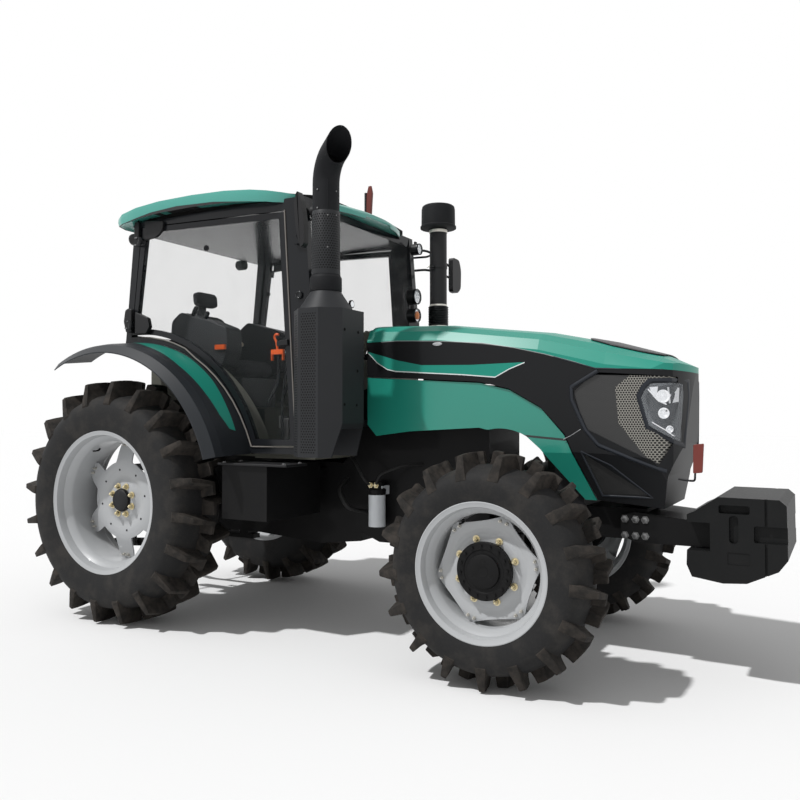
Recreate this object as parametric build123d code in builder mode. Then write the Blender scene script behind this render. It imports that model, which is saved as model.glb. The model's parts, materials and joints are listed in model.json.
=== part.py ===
from build123d import *
import os
from math import cos, radians, sin

# A farm tractor with a closed cab, in millimetres: +X forward, +Y to its left, +Z up.
# The origin is on the ground, under the middle of the overall box.
# Lengths along the tractor are counted from the rear axle, by the three planes below.

os.makedirs("parts", exist_ok=True)

# ---- driving dimensions ----
wheelbase = 2900
tail_reach = 1050
nose_reach = 4350
rear_axle_x = (tail_reach - nose_reach) / 2
front_axle_x = rear_axle_x + wheelbase

rear_wheel_radius = 875
rear_wheel_y = 893
front_wheel_radius = 648
front_wheel_y = 907
kingpin_y = 660

hood_rear = 1790
hood_wall = 10

cab_side_y = 755
cab_post = 60
door_thick = 40
glass = 6
fender_center = (-20, 900)
sheet = 8

floor_z = 1260
floor_thick = 60


def side_plane(y=0):
    """Seen from the right: local x is forward from the rear axle, local y is up."""
    return Plane(origin=(rear_axle_x, y, 0), x_dir=(1, 0, 0), z_dir=(0, -1, 0))


def cross_plane(x):
    """Across the tractor at x from the rear axle: local x is left, local y is up."""
    return Plane(origin=(rear_axle_x + x, 0, 0), x_dir=(0, 1, 0), z_dir=(1, 0, 0))


def deck_plane(z):
    """Level at height z: local x is forward from the rear axle, local y is left."""
    return Plane(origin=(rear_axle_x, 0, z), x_dir=(1, 0, 0), z_dir=(0, 0, 1))


def save(part, name):
    part.label = name
    export_step(part, f"parts/{name}.step")


def save_pair(right, name):
    """Writes the right-hand piece and its mirror image on the left."""
    save(right, f"{name}_right")
    with BuildPart() as left:
        mirror(right, about=Plane.XZ)
    save(left.part, f"{name}_left")


def polar(radius, degrees, center=fender_center):
    """A point at a radius and an angle from forward, about the fender's centre."""
    return (center[0] + radius * cos(radians(degrees)), center[1] + radius * sin(radians(degrees)))


def at(forward, left, height):
    """A point counted from the rear axle, the middle and the ground."""
    return Vector(rear_axle_x + forward, left, height)


def bar(start, end, radius):
    """A round bar between two points."""
    with BuildPart() as rod:
        with BuildSketch(Plane(origin=start, z_dir=end - start)):
            Circle(radius)
        extrude(amount=(end - start).length)
    return rod.part


# ---- three-point linkage: its pivots, a parallelogram on each side ----
link_pivot = (-80, 480)
arm_pivot = (-230, 1085)
link_slope = radians(4)
link_pin = 420
link_length = (tail_reach - 45 + link_pivot[0]) / cos(link_slope)
rod_pin = 14
link_y = 300
hitch_y = 435
hitch_ball = 14.35
pivot_radius = 20
shaft_radius = 34
top_pin_hole = 12.7

# ---- gearbox, one casting with the linkage's pins and brackets on it ----
gearbox_half = 190
gearbox_base = 600
gearbox_profile = [(-300, gearbox_base), (-300, 1040), (-160, 1040), (-160, 1200), (500, 1180), (1450, 1150),
                   (1500, 1200), (1600, 1200), (1600, gearbox_base), (1250, 560), (700, gearbox_base)]
pto_radius = 17.5
pto_length = 110
pto_z = 700

with BuildPart() as gearbox:
    with BuildSketch(side_plane(gearbox_half)):
        with BuildLine():
            Polyline(*gearbox_profile, close=True)
        make_face()
    extrude(amount=2 * gearbox_half)
    # power take-off stub
    with BuildSketch(cross_plane(-300)):
        with Locations((0, pto_z)):
            Circle(pto_radius)
    extrude(amount=-pto_length)
    # bearings of the lift shaft, on the casting's rear step
    for y in (190, -120):
        with BuildSketch(side_plane(y)):
            with BuildLine():
                Polyline((-295, 1040), (-270, 1130), (-190, 1130), (-165, 1040), close=True)
            make_face()
            with Locations(arm_pivot):
                Circle(shaft_radius + 0.08, mode=Mode.SUBTRACT)
        extrude(amount=70)
    # lower links' pivot bar in two brackets
    with BuildSketch(side_plane(318)):
        with Locations(link_pivot):
            Circle(pivot_radius)
    extrude(amount=636)
    for y in (160, -60):
        with BuildSketch(side_plane(y)):
            with BuildLine():
                Polyline((-130, 450), (-130, gearbox_base + 5), (-30, gearbox_base + 5), (-30, 450), close=True)
            make_face()
        extrude(amount=100)
    # top link's bracket
    for y in (46, -30):
        with BuildSketch(side_plane(y)):
            with BuildLine():
                Polyline((-295, 880), (-295, 1030), (-400, 1000), (-400, 930), close=True)
            make_face()
            with Locations((-365, 965)):
                Circle(top_pin_hole, mode=Mode.SUBTRACT)
        extrude(amount=16)
save(gearbox.part, "gearbox")

# ---- rear axle: a trumpet housing on each side of the gearbox, its hub flange at the wheel ----
axle_root_radius = 205
axle_tip_radius = 118
axle_flange_radius = 150
axle_cone_end = 590
axle_end = 760
with BuildPart() as rear_axle:
    with Locations((rear_axle_x, -(axle_cone_end + gearbox_half) / 2, rear_wheel_radius)):
        Cone(axle_root_radius, axle_tip_radius, axle_cone_end - gearbox_half, rotation=(90, 0, 0))
    for high, radius in ((axle_end, axle_tip_radius), (axle_cone_end, axle_flange_radius)):
        low = axle_cone_end - 30
        with Locations((rear_axle_x, -(low + high) / 2, rear_wheel_radius)):
            Cylinder(radius, high - low, rotation=(90, 0, 0))
    mirror(about=Plane.XZ)
save(rear_axle.part, "rear_axle")

# ---- engine, and the frame that carries the front axle and the weights ----
engine_front = 2620
engine_half = 270
with BuildPart() as engine:
    with BuildSketch(side_plane(engine_half)):
        with BuildLine():
            Polyline((1600, 700), (1600, 1640), (1750, 1700), (2500, 1700), (engine_front, 1560),
                     (engine_front, 700), (2450, 620), (1800, 620), close=True)
        make_face()
    extrude(amount=2 * engine_half)
save(engine.part, "engine_block")

frame_half = 230
carrier_half = 285
carrier_end = 3960
trunnion_x = (2740, 3025)
with BuildPart() as front_frame:
    with BuildSketch(side_plane(frame_half)):
        with BuildLine():
            Polyline((engine_front, 760), (engine_front, 1000), (2900, 1000), (3050, 945), (3600, 945),
                     (3600, 765), close=True)
        make_face()
    extrude(amount=2 * frame_half)
    with BuildSketch(side_plane(carrier_half)):
        with BuildLine():
            Polyline((3460, 790), (3460, 905), (3540, 930), (3820, 905), (carrier_end, 905), (carrier_end, 755),
                     (3540, 755), close=True)
        make_face()
    extrude(amount=2 * carrier_half)
    for x in trunnion_x:
        with BuildSketch(side_plane(110)):
            with Locations((x + 17.5, 680)):
                Rectangle(35, 180)
        extrude(amount=220)
save(front_frame.part, "front_frame")

# ---- front axle: beam with a fork at each end, and the knuckles that turn in the forks ----
kingpin_radius = 35
fork_gap = 168
fork_thick = 35
fork_y = 490
beam_radius = 88
with BuildPart() as axle_beam:
    with Locations((front_axle_x, 0, front_wheel_radius)):
        Cylinder(beam_radius, 2 * fork_y - 60, rotation=(90, 0, 0))
    with Locations((front_axle_x, 0, 600)):
        Cylinder(120, 230, rotation=(90, 0, 0))
    with BuildSketch(cross_plane(trunnion_x[0] + 35)):
        with Locations((0, front_wheel_radius)):
            Circle(80)
    extrude(amount=trunnion_x[1] - trunnion_x[0] - 35)
    for side in (-1, 1):
        with Locations((front_axle_x, side * (fork_y - 17.5), front_wheel_radius)):
            Box(160, 35, 2 * (fork_gap + fork_thick))
        for up in (-1, 1):
            ear_z = front_wheel_radius + up * (fork_gap + fork_thick / 2)
            with BuildSketch(deck_plane(ear_z - fork_thick / 2)):
                with Locations((wheelbase, side * (fork_y + kingpin_y) / 2)):
                    Rectangle(140, kingpin_y - fork_y + 10)
                with Locations((wheelbase, side * kingpin_y)):
                    Circle(70)
                    Circle(kingpin_radius + 0.08, mode=Mode.SUBTRACT)
            extrude(amount=fork_thick)
save(axle_beam.part, "front_axle_beam")

knuckle_end = 820
with BuildPart() as knuckle:
    with Locations((front_axle_x, -kingpin_y, front_wheel_radius)):
        Cylinder(kingpin_radius, 2 * (fork_gap + fork_thick))
        Cylinder(95, 2 * fork_gap - 12)
    with Locations((front_axle_x, -(kingpin_y + knuckle_end) / 2, front_wheel_radius)):
        Cylinder(120, knuckle_end - kingpin_y, rotation=(90, 0, 0))
save_pair(knuckle.part, "knuckle")


# ---- wheels ----
# A rim's barrel: columns are distance from its middle plane and radius, from flange to well.
rear_rim = dict(flange=(215, 508), seat=(203, 484), ledge=(140, 476), well=(105, 440))
front_rim = dict(flange=(178, 381), seat=(166, 357), ledge=(112, 349), well=(80, 318))
rim_wall = 9
lobes = 6


def rim_part(rim, radius, x, y, disc_y, hub_inner, waist, first_lobe, hub_radius, cap_reach):
    """A steel rim, its lobed disc and its hub; right-hand side, y counted outwards."""
    outer = [rim[k] for k in ("flange", "seat", "ledge", "well")]
    inner = [(a + 6, r - rim_wall) for a, r in outer]
    barrel = [(a, r) for a, r in outer] + [(-a, r) for a, r in reversed(outer)]
    barrel += [(-a, r) for a, r in inner] + [(a, r) for a, r in reversed(inner)]
    tip = rim["well"][1] - rim_wall / 2
    star = []
    for k in range(lobes):
        turn = first_lobe + k * 360 / lobes
        star += [(tip, turn - 7), (tip, turn + 7), (waist, turn + 180 / lobes)]
    with BuildPart() as wheel:
        with BuildSketch(Plane(origin=(x, -y, radius), x_dir=(0, -1, 0), z_dir=(-1, 0, 0))):
            with BuildLine():
                Polyline(*barrel, close=True)
            make_face()
        revolve(axis=Axis((x, -y, radius), (0, 1, 0)))
        with BuildSketch(side_plane(-disc_y)):
            with BuildLine():
                Polyline(*[polar(r, t, (x - rear_axle_x, radius)) for r, t in star], close=True)
            make_face()
        extrude(amount=14)
        with BuildSketch(side_plane(-hub_inner)):
            with Locations((x - rear_axle_x, radius)):
                Circle(hub_radius)
        extrude(amount=cap_reach - hub_inner)
    return wheel.part


rear_rim_part = rim_part(rear_rim, rear_wheel_radius, rear_axle_x, rear_wheel_y, disc_y=900, hub_inner=766,
                         waist=290, first_lobe=30, hub_radius=110, cap_reach=945)
save_pair(rear_rim_part, "rim_rear")
front_rim_part = rim_part(front_rim, front_wheel_radius, front_axle_x, front_wheel_y, disc_y=966, hub_inner=826,
                          waist=300, first_lobe=10, hub_radius=160, cap_reach=1030)
save_pair(front_rim_part, "rim_front")

# A tyre's carcass and bead: columns are distance from its middle plane and radius, from the middle outwards.
# A lug is a bar from the middle to the sidewall, leaning back as it goes out.
rear_tyre = dict(carcass=[(0, 776), (200, 730), (233, 640)], bead=[(0, 484), (201, 484), (240, 674)],
                 sides=20, lugs=20, first_lug=-7.8, lug_root=720, lug_end=(190, 861), lug_foot=(217, 692))
front_tyre = dict(carcass=[(0, 577), (150, 545), (189, 470)], bead=[(0, 357), (164, 357), (195, 497)],
                  sides=20, lugs=17, first_lug=-7.9, lug_root=535, lug_end=(150, 636), lug_foot=(176, 498))
lug_half = 17
lug_lean = 14


def radial_plane(turn, lean, row, center):
    """Through the wheel's middle: local x is out along the axle, leaning back, local y the radius at turn."""
    radius_dir = Vector(cos(radians(turn)), 0, sin(radians(turn)))
    ahead = Vector(sin(radians(turn)), 0, -cos(radians(turn)))
    out = Vector(0, -row, 0) * cos(radians(lean)) - ahead * sin(radians(lean))
    return Plane(origin=center, x_dir=out, z_dir=out.cross(radius_dir))


def faceted(half_section, sides, first, center):
    """A half section turned about the axle in flat sides: one prism across it for each pair of sides."""
    section = [(-a, r) for a, r in reversed(half_section[1:])] + half_section
    section += [(a, -r) for a, r in reversed(section)]
    with BuildPart() as turned:
        for k in range(sides // 2):
            with BuildSketch(radial_plane(first + k * 360 / sides, 0, 1, center)):
                with BuildLine():
                    Polyline(*section, close=True)
                make_face()
            extrude(amount=1000, both=True, mode=Mode.INTERSECT if k else Mode.ADD)
    return turned.part


def tyre_part(tyre, radius, x, y):
    """A tyre with two rows of lugs set half a pitch apart, its carcass in flat sides; right-hand side."""
    center = Vector(x, -y, radius)
    top = (radius**2 - lug_half**2)**0.5
    with BuildPart() as whole:
        add(faceted(tyre["carcass"], tyre["sides"], tyre["first_lug"], center))
        for k in range(2 * tyre["lugs"]):
            turn = tyre["first_lug"] + k * 180 / tyre["lugs"]
            with BuildSketch(radial_plane(turn, lug_lean, 1 if k % 2 == 0 else -1, center)):
                with BuildLine():
                    Polyline((-lug_half, tyre["lug_root"]), (-lug_half, top), tyre["lug_end"],
                             tyre["lug_foot"], (tyre["lug_end"][0] - 40, tyre["lug_foot"][1]), close=True)
                make_face()
        extrude(amount=lug_half, both=True)
        add(faceted(tyre["bead"], tyre["sides"], tyre["first_lug"], center), mode=Mode.SUBTRACT)
    return whole.part


save_pair(tyre_part(rear_tyre, rear_wheel_radius, rear_axle_x, rear_wheel_y), "tyre_rear")
save_pair(tyre_part(front_tyre, front_wheel_radius, front_axle_x, front_wheel_y), "tyre_front")

# ---- front weights on their carrier ----
weight_half = 380
# pockets cast in each side: rear and front end, bottom and top, depth, corner radius
weight_pockets = [
    (4010, 4166, 960, 1006, 45, 12),
    (4062, 4109, 800, 951, 30, 22),
    (4186, 4360, 812, 902, 35, 12),
    (4239, 4253, 600, 1060, 14, 5),
    (4054, 4165, 686, 753, 5, 8),
]
with BuildPart() as weights:
    with BuildSketch(side_plane(weight_half)):
        with BuildLine():
            Polyline((3845, 945), (3885, 965), (4005, 1048), (4310, 1046), (4345, 1015), (4350, 730),
                     (4305, 668), (4150, 592), (4030, 582), (3870, 605), (3842, 670), (3845, 750),
                     (3965, 750), (3965, 905), (3845, 905), close=True)
        make_face()
    extrude(amount=2 * weight_half)
    for back, front, bottom, top, depth, corner in weight_pockets:
        for y in (weight_half, depth - weight_half):
            with BuildSketch(side_plane(y)):
                with Locations(((back + front) / 2, (bottom + top) / 2)):
                    RectangleRounded(front - back, top - bottom, corner)
            extrude(amount=depth, mode=Mode.SUBTRACT)
save(weights.part, "front_weights")

# ---- radiator, standing on the front frame behind the nose ----
radiator_half = 285
with BuildPart() as radiator:
    with BuildSketch(side_plane(radiator_half)):
        with BuildLine():
            Polyline((3060, 945), (3060, 1690), (3240, 1660), (3240, 945), close=True)
        make_face()
    extrude(amount=2 * radiator_half)
save(radiator.part, "radiator")

# ---- hood: sections from the rear to the nose ----
# columns: distance from the rear axle, half width, height where the shoulder starts, crown height
hood_sections = [
    (1790, 415, 1995, 2128),
    (2320, 420, 1980, 2105),
    (3000, 425, 1890, 2022),
    (3400, 420, 1790, 1936),
    (3700, 412, 1752, 1848),
    (3870, 405, 1735, 1768),
]
shoulder = 115
hood_seam = [(1790, 1756), (2615, 1704), (2812, 1658), (3018, 1542), (3166, 1383), (3337, 995), (3715, 960)]
nose_face = [(3745, 1150), (3815, 1330), (3845, 1735)]
nose_half = 345
nose_start = 3440
# below this height the nose's sides lean in, clear of the steered wheels
lean_top = (430, 1300)
lean_base = (310, 940)


def hood_body(inset):
    """The hood as a solid, made smaller all round by the inset."""
    with BuildPart() as body:
        for x, half, low, crown in hood_sections:
            w = half - inset
            s = low - inset / 2
            c = crown - inset
            rise = (c - s) * 0.78
            with BuildSketch(cross_plane(x)):
                with BuildLine():
                    Polyline((-w + shoulder, s + rise), (-w + shoulder * 0.3, s + rise * 0.62), (-w, s), (-w, 900),
                             (w, 900), (w, s), (w - shoulder * 0.3, s + rise * 0.62), (w - shoulder, s + rise))
                    ThreePointArc((w - shoulder, s + rise), (0, c), (-w + shoulder, s + rise))
                make_face()
        loft(ruled=True)
        with BuildSketch(side_plane(600)):
            with BuildLine():
                if inset:
                    face = [(x - inset, z) for x, z in nose_face]
                    Polyline((1700, 880), (3715 - inset, 880), (3715 - inset, 960), *face, (face[-1][0], 2200),
                             (1700, 2200), close=True)
                else:
                    Polyline(*hood_seam, *nose_face, (nose_face[-1][0], 2200), (hood_rear, 2200), close=True)
            make_face()
        extrude(amount=1200, mode=Mode.INTERSECT)
        with BuildSketch(deck_plane(800)):
            with BuildLine():
                Polyline((nose_start, -500), (1700, -500), (1700, 500), (nose_start, 500),
                         (nose_start, 425 - inset))
                Polyline((nose_start, -500), (nose_start, -425 + inset))
                ThreePointArc((nose_start, 425 - inset), (3680, 405 - inset), (3770 - inset, nose_half - inset))
                ThreePointArc((nose_start, -425 + inset), (3680, -405 + inset), (3770 - inset, -nose_half + inset))
                ThreePointArc((3770 - inset, nose_half - inset), (3845 - inset, 0), (3770 - inset, -nose_half + inset))
            make_face()
        extrude(amount=1500, mode=Mode.INTERSECT)
        with BuildSketch(cross_plane(1600)):
            with BuildLine():
                right = [(-500, 2300), (-500, lean_top[1]), (inset - lean_top[0], lean_top[1]),
                         (inset - lean_base[0], lean_base[1]), (inset - lean_base[0], 850)]
                Polyline(*right, *[(-y, z) for y, z in reversed(right)], close=True)
            make_face()
        extrude(amount=2500, mode=Mode.INTERSECT)
    return body.part


hood_pin = (1700, 2060)
hood_pin_radius = 10
hood_ear_y = 245
hood_outer = hood_body(0)
hood_inner = hood_body(hood_wall)
hood_core = hood_body(hood_wall + 5)
# windows in the nose's sides: the big one behind the lamp and the small one under it
nose_windows = [
    [(3215, 1635), (3345, 1745), (3790, 1712), (3770, 1335), (3700, 1215), (3280, 1420)],
    [(3270, 1275), (3366, 1028), (3650, 1028)],
]
with BuildPart() as hood:
    add(hood_outer)
    add(hood_inner, mode=Mode.SUBTRACT)
    for window in nose_windows:
        with BuildSketch(side_plane(600)):
            with BuildLine():
                Polyline(*window, close=True)
            make_face()
        extrude(amount=1200, mode=Mode.SUBTRACT)
    # hinge ears at the rear
    for y in (hood_ear_y, -hood_ear_y + 25):
        with BuildSketch(side_plane(y)):
            with BuildLine():
                Polyline((1700, 2084), (1795, 2106), (1860, 2104), (1860, 2070), (1700, 2036), close=True)
            make_face()
            with Locations(hood_pin):
                Circle(24)
                Circle(hood_pin_radius + 0.06, mode=Mode.SUBTRACT)
        extrude(amount=25)
save(hood.part, "hood")

# ---- the mesh behind the nose's windows, held inside the hood ----
with BuildPart() as mesh:
    add(hood_inner)
    with BuildSketch(side_plane(600)):
        with BuildLine():
            Polyline((3180, 1640), (3330, 1730), (3805, 1712), (3790, 1335), (3700, 1140), (3670, 1005), (3350, 1005),
                     (3190, 1400), close=True)
        make_face()
    extrude(amount=1200, mode=Mode.INTERSECT)
    add(hood_core, mode=Mode.SUBTRACT)
save(mesh.part, "nose_mesh")

# ---- headlamps, in the front corners of the nose ----
with BuildPart() as lamp:
    add(hood_core)
    with BuildSketch(side_plane(-240)):
        with BuildLine():
            Polyline((3600, 1660), (3800, 1672), (3780, 1335), (3600, 1590), close=True)
        make_face()
    extrude(amount=200, mode=Mode.INTERSECT)
    mirror(about=Plane.XZ)
save(lamp.part, "headlamps")

# ---- air intake on the left: bowl, pipe, bellows and the elbow into the engine bay ----
intake_x = 1870
intake_y = 505
intake_base = 1560
intake_radius = 66
# columns: radius, bottom, top
intake_rings = [(intake_radius, intake_base, 2190), (80, 2185, 2330), (intake_radius, 2325, 2890), (84, 2880, 2900),
                (70, 2895, 2945), (139, 2940, 3110), (125, 3105, 3122)]
with BuildPart() as intake:
    for radius, low, high in intake_rings:
        with BuildSketch(deck_plane(low)):
            with Locations((intake_x, intake_y)):
                Circle(radius)
        extrude(amount=high - low)
    with Locations(at(intake_x, intake_y, intake_base)):
        Sphere(intake_radius)
    with BuildSketch(side_plane(intake_y)):
        with Locations((intake_x, intake_base)):
            Circle(intake_radius)
    extrude(amount=intake_y - engine_half)
save(intake.part, "air_intake")

# ---- fixed side panels under the hood's seam, arched over the front wheels ----
panel_y = 402
panel_gap = 8
panel_lean_top = 1270
panel_lean_base = (290, 934)
panel_top = [(x, z - panel_gap) for x, z in hood_seam[:-3]] + [(3158, 1375), (3328, 990)]
with BuildPart() as side_panel:
    with BuildSketch(side_plane(-200)):
        with BuildLine():
            Polyline(*panel_top, (3260, 990), (3010, 1290), (2924, 1364))
            ThreePointArc((2924, 1364), (2790, 1410), (2669, 1402))
            Polyline((2669, 1402), (2610, 1416), (2114, 1388), (1860, 1355), (hood_rear, 1430), panel_top[0])
        make_face()
    extrude(amount=300)
    with BuildSketch(cross_plane(1600)):
        with BuildLine():
            inside = [(-panel_y, 1900), (-panel_y, panel_lean_top), (-panel_lean_base[0], panel_lean_base[1])]
            Polyline(*inside, *[(y - sheet, z) for y, z in reversed(inside)], close=True)
        make_face()
    extrude(amount=2500, mode=Mode.INTERSECT)
    # stays to the engine
    with BuildSketch(side_plane(-engine_half)):
        with Locations((2020, 1520), (2500, 1500)):
            Rectangle(50, 30)
    extrude(amount=panel_y - engine_half)
save(side_panel.part, "side_panel_right")
with BuildPart() as left_panel:
    mirror(side_panel.part, about=Plane.XZ)
    with BuildSketch(side_plane(600)):
        with Locations((intake_x, intake_base)):
            Circle(intake_radius + 8)
    extrude(amount=600, mode=Mode.SUBTRACT)
save(left_panel.part, "side_panel_left")

# ---- exhaust: guard beside the cab's front post, silencer, stack ----
stack_x = 1771
stack_y = 880
guard_base = 1236
guard_top = 2151
guard_wall = 8
pipe_radius = 85
collar_radius = 95
silencer_radius = 134
# plan of the guard: forward and outward, chamfered outboard
guard_plan = [(1579, 708), (1579, 954), (1687, 1057), (1835, 1057), (1945, 954), (1945, 708)]
inlet = (1700, 1560)
inlet_radius = 45


def guard_outline(inset, z):
    with BuildSketch(deck_plane(z)) as outline:
        with BuildLine():
            Polyline(*[(x, -y) for x, y in guard_plan], close=True)
        make_face()
        offset(amount=-inset, kind=Kind.INTERSECTION)
    return outline.sketch


with BuildPart() as guard:
    extrude(guard_outline(0, guard_base), amount=guard_top - guard_base)
    extrude(guard_outline(guard_wall, guard_base), amount=guard_top - guard_base - guard_wall,
            mode=Mode.SUBTRACT)
    with Locations(at(stack_x, -stack_y, guard_top + 57)):
        Cone(172, collar_radius + 3, 114)
        Cylinder(collar_radius - 5, 300, mode=Mode.SUBTRACT)
    with BuildSketch(side_plane(0)):
        with Locations(inlet):
            Circle(inlet_radius + 6)
    extrude(amount=800, mode=Mode.SUBTRACT)
    with BuildSketch(side_plane(0)):
        with BuildLine():
            Polyline((1945, 1442), (1895, guard_base), (2000, guard_base), (2000, 1442), close=True)
        make_face()
    extrude(amount=1200, mode=Mode.SUBTRACT)
    # stay to the engine
    with BuildSketch(side_plane(-engine_half)):
        with Locations((1700, 1440)):
            Rectangle(90, 50)
    extrude(amount=guard_plan[0][1] + guard_wall - engine_half)
save(guard.part, "exhaust_guard")

bend_start = 2956
bend_radius = 287
bend_angle = 50
mouth_length = 86
bend_end = (stack_x + bend_radius * (1 - cos(radians(bend_angle))), bend_start + bend_radius * sin(radians(bend_angle)))
mouth = (bend_end[0] + mouth_length * sin(radians(bend_angle)), bend_end[1] + mouth_length * cos(radians(bend_angle)))
with BuildPart() as exhaust:
    with BuildLine(side_plane(-stack_y)) as stack_path:
        Line((stack_x, guard_top - 60), (stack_x, bend_start))
        RadiusArc((stack_x, bend_start), bend_end, bend_radius)
        Line(bend_end, mouth)
    with BuildSketch(deck_plane(guard_top - 60)):
        with Locations((stack_x, -stack_y)):
            Circle(pipe_radius)
            Circle(pipe_radius - 5, mode=Mode.SUBTRACT)
    sweep(path=stack_path.wires()[0])
    with BuildSketch(deck_plane(guard_top + 125)):
        with Locations((stack_x, -stack_y)):
            Circle(collar_radius)
            Circle(pipe_radius - 1, mode=Mode.SUBTRACT)
    extrude(amount=110)
    with BuildSketch(deck_plane(guard_base + 60)):
        with Locations((stack_x, -stack_y)):
            Circle(silencer_radius)
    extrude(amount=guard_top - guard_base - 110)
    with BuildSketch(side_plane(-engine_half)):
        with Locations(inlet):
            Circle(inlet_radius)
    extrude(amount=stack_y - 60 - engine_half)
save(exhaust.part, "exhaust_stack")

# ---- cab: side frames of posts and rails, cross rails and the headliner ----
door_low_radius = 1165
door_high_radius = 1200
door_corner_x = 1444
door_top_front = (1343, 2858)
door_top_rear = (15, 2900)
door_base = 1290
door_gap = 8
door_rear_angle = 91
door_rear_x = -85
hinge_lean = (0.148, 0, 0.989)
hinge_pin_radius = 8
hinge_barrel = 14
hinge_heights = (2170, 2790)
frame_radius = 1132
frame_arc = (17, 97)
sill_z = 1235
head_low = 2870
head_high = 2945
post_front = [(1560, sill_z), (1560, 2290), (1505, head_high)]
post_rear = [(-62, head_high), (-150, 2060)]


def hinge_plane(height):
    """Across the right door's hinge axis at a height: local x is forward, local y is inward."""
    return Plane(origin=at(-60 + (height - 2200) * hinge_lean[0] / hinge_lean[2], -cab_side_y - 35, height),
                 x_dir=(hinge_lean[2], 0, -hinge_lean[0]), z_dir=hinge_lean)


def door_face(grow, y, drop=0):
    """The door's outline at y, larger all round by grow; its lower edge arcs over the fender.

    drop lowers the arc's rear end, where the leaning hinge lets the open door sink.
    """
    low = door_low_radius - grow
    high = door_high_radius - grow - drop
    base = door_base - grow
    base_x = fender_center[0] + (low**2 - (base - fender_center[1])**2)**0.5
    rear_low = polar(high, door_rear_angle)
    with BuildSketch(side_plane(y)) as outline:
        with BuildLine():
            Polyline((base_x, base), (door_corner_x + grow, base),
                     (door_top_front[0] + grow, door_top_front[1] + grow),
                     (door_top_rear[0] - grow, door_top_rear[1] + grow), (door_rear_x - grow, rear_low[1]), rear_low)
            ThreePointArc(rear_low, polar((low + 2 * high) / 3, 55), (base_x, base))
        make_face()
    return outline.sketch


doorway = door_face(door_gap, -cab_side_y + cab_post, 10)
with BuildPart() as cab_frame:
    with BuildSketch(side_plane(-cab_side_y + cab_post)):
        with BuildLine():
            Polyline(polar(frame_radius, frame_arc[0]), (polar(frame_radius, frame_arc[0])[0], sill_z),
                     *post_front, *post_rear, polar(frame_radius, frame_arc[1]))
            ThreePointArc(polar(frame_radius, frame_arc[1]), polar(frame_radius, 57), polar(frame_radius, frame_arc[0]))
        make_face()
    extrude(amount=cab_post)
    extrude(doorway, amount=cab_post, mode=Mode.SUBTRACT)
    # the door's hinge pins, each held between two arms
    for height in hinge_heights:
        with BuildSketch(hinge_plane(height)):
            Circle(hinge_pin_radius)
        extrude(amount=32, both=True)
        for end in (-32, 22):
            with BuildSketch(hinge_plane(height).offset(end)):
                with BuildLine():
                    Polyline((0, -hinge_barrel), (0, hinge_barrel), (-38, hinge_barrel), (-38, 36), (-72, 36),
                             (-72, 10), (-20, -hinge_barrel), close=True)
                make_face()
                Circle(hinge_barrel)
            extrude(amount=10)
    mirror(about=Plane.XZ)
    inner = cab_side_y - cab_post
    with BuildSketch(side_plane(inner)):
        with BuildLine():
            Polyline((-62, head_high), (1505, head_high), (1500, head_low), (-70, head_low), close=True)
        make_face()
        # rails under the rear window and under the windscreen
        with BuildLine():
            Polyline((-150, 2050), (-145, 2100), (-105, 2100), (-110, 2050), close=True)
        make_face()
        with BuildLine():
            Polyline((1503, 1900), (1503, 1945), (1560, 1945), (1560, 1900), close=True)
        make_face()
    extrude(amount=2 * inner)
save(cab_frame.part, "cab_frame")

# ---- cab tub: floor, arches over the wheels, rear wall and firewall ----
arch_inner_y = 500
arch_radius = 1128
tub_y = cab_side_y - cab_post
with BuildPart() as tub:
    with BuildSketch(side_plane(tub_y)):
        with BuildLine():
            Polyline((1056, floor_z - floor_thick), (1056, floor_z), (1533, floor_z), (1533, 1900), (1560, 1900),
                     (1560, floor_z - floor_thick), close=True)
        make_face()
    extrude(amount=2 * tub_y)
    with BuildSketch(side_plane(arch_inner_y + 12)):
        with BuildLine():
            Polyline((300, floor_z - floor_thick), (300, floor_z), (1060, floor_z), (1060, floor_z - floor_thick),
                     close=True)
        make_face()
    extrude(amount=2 * arch_inner_y + 24)
    with BuildSketch(side_plane(arch_inner_y)):
        with BuildLine():
            Polyline((-150, 1200), (-150, 2050), (-125, 2050), (-125, 1620), (300, 1620), (450, 1560), (450, floor_z),
                     (300, floor_z), (300, 1200), close=True)
        make_face()
    extrude(amount=2 * arch_inner_y)
    for y in (tub_y, -arch_inner_y):
        with BuildSketch(side_plane(y)):
            with BuildLine():
                Line(polar(arch_radius, 18.5), polar(arch_radius - 15, 18.5))
                ThreePointArc(polar(arch_radius - 15, 18.5), polar(arch_radius - 15, 57), polar(arch_radius - 15, 96))
                Line(polar(arch_radius - 15, 96), polar(arch_radius, 96))
                ThreePointArc(polar(arch_radius, 96), polar(arch_radius, 57), polar(arch_radius, 18.5))
            make_face()
        extrude(amount=tub_y - arch_inner_y)
    for y in (arch_inner_y + 12, -arch_inner_y):
        with BuildSketch(side_plane(y)):
            with BuildLine():
                Polyline(polar(arch_radius, 96), (-130, 1230), (polar(arch_radius, 18.5)[0], 1230),
                         polar(arch_radius, 18.5))
                ThreePointArc(polar(arch_radius, 18.5), polar(arch_radius, 57), polar(arch_radius, 96))
            make_face()
        extrude(amount=12)
    # the hood's hinge brackets on the firewall
    for side in (-1, 1):
        with BuildSketch(side_plane(side * 265 + 15)):
            with BuildLine():
                Polyline((1550, 1780), (1550, 1890), (1565, 1895), (1676, 2055), (1724, 2055), (1690, 1950),
                         (1600, 1780), close=True)
            make_face()
            with Locations(hood_pin):
                Circle(24)
        extrude(amount=30)
    for y in (280, -215):
        with BuildSketch(side_plane(y)):
            with Locations(hood_pin):
                Circle(hood_pin_radius)
        extrude(amount=65)
save(tub.part, "cab_tub")

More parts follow.
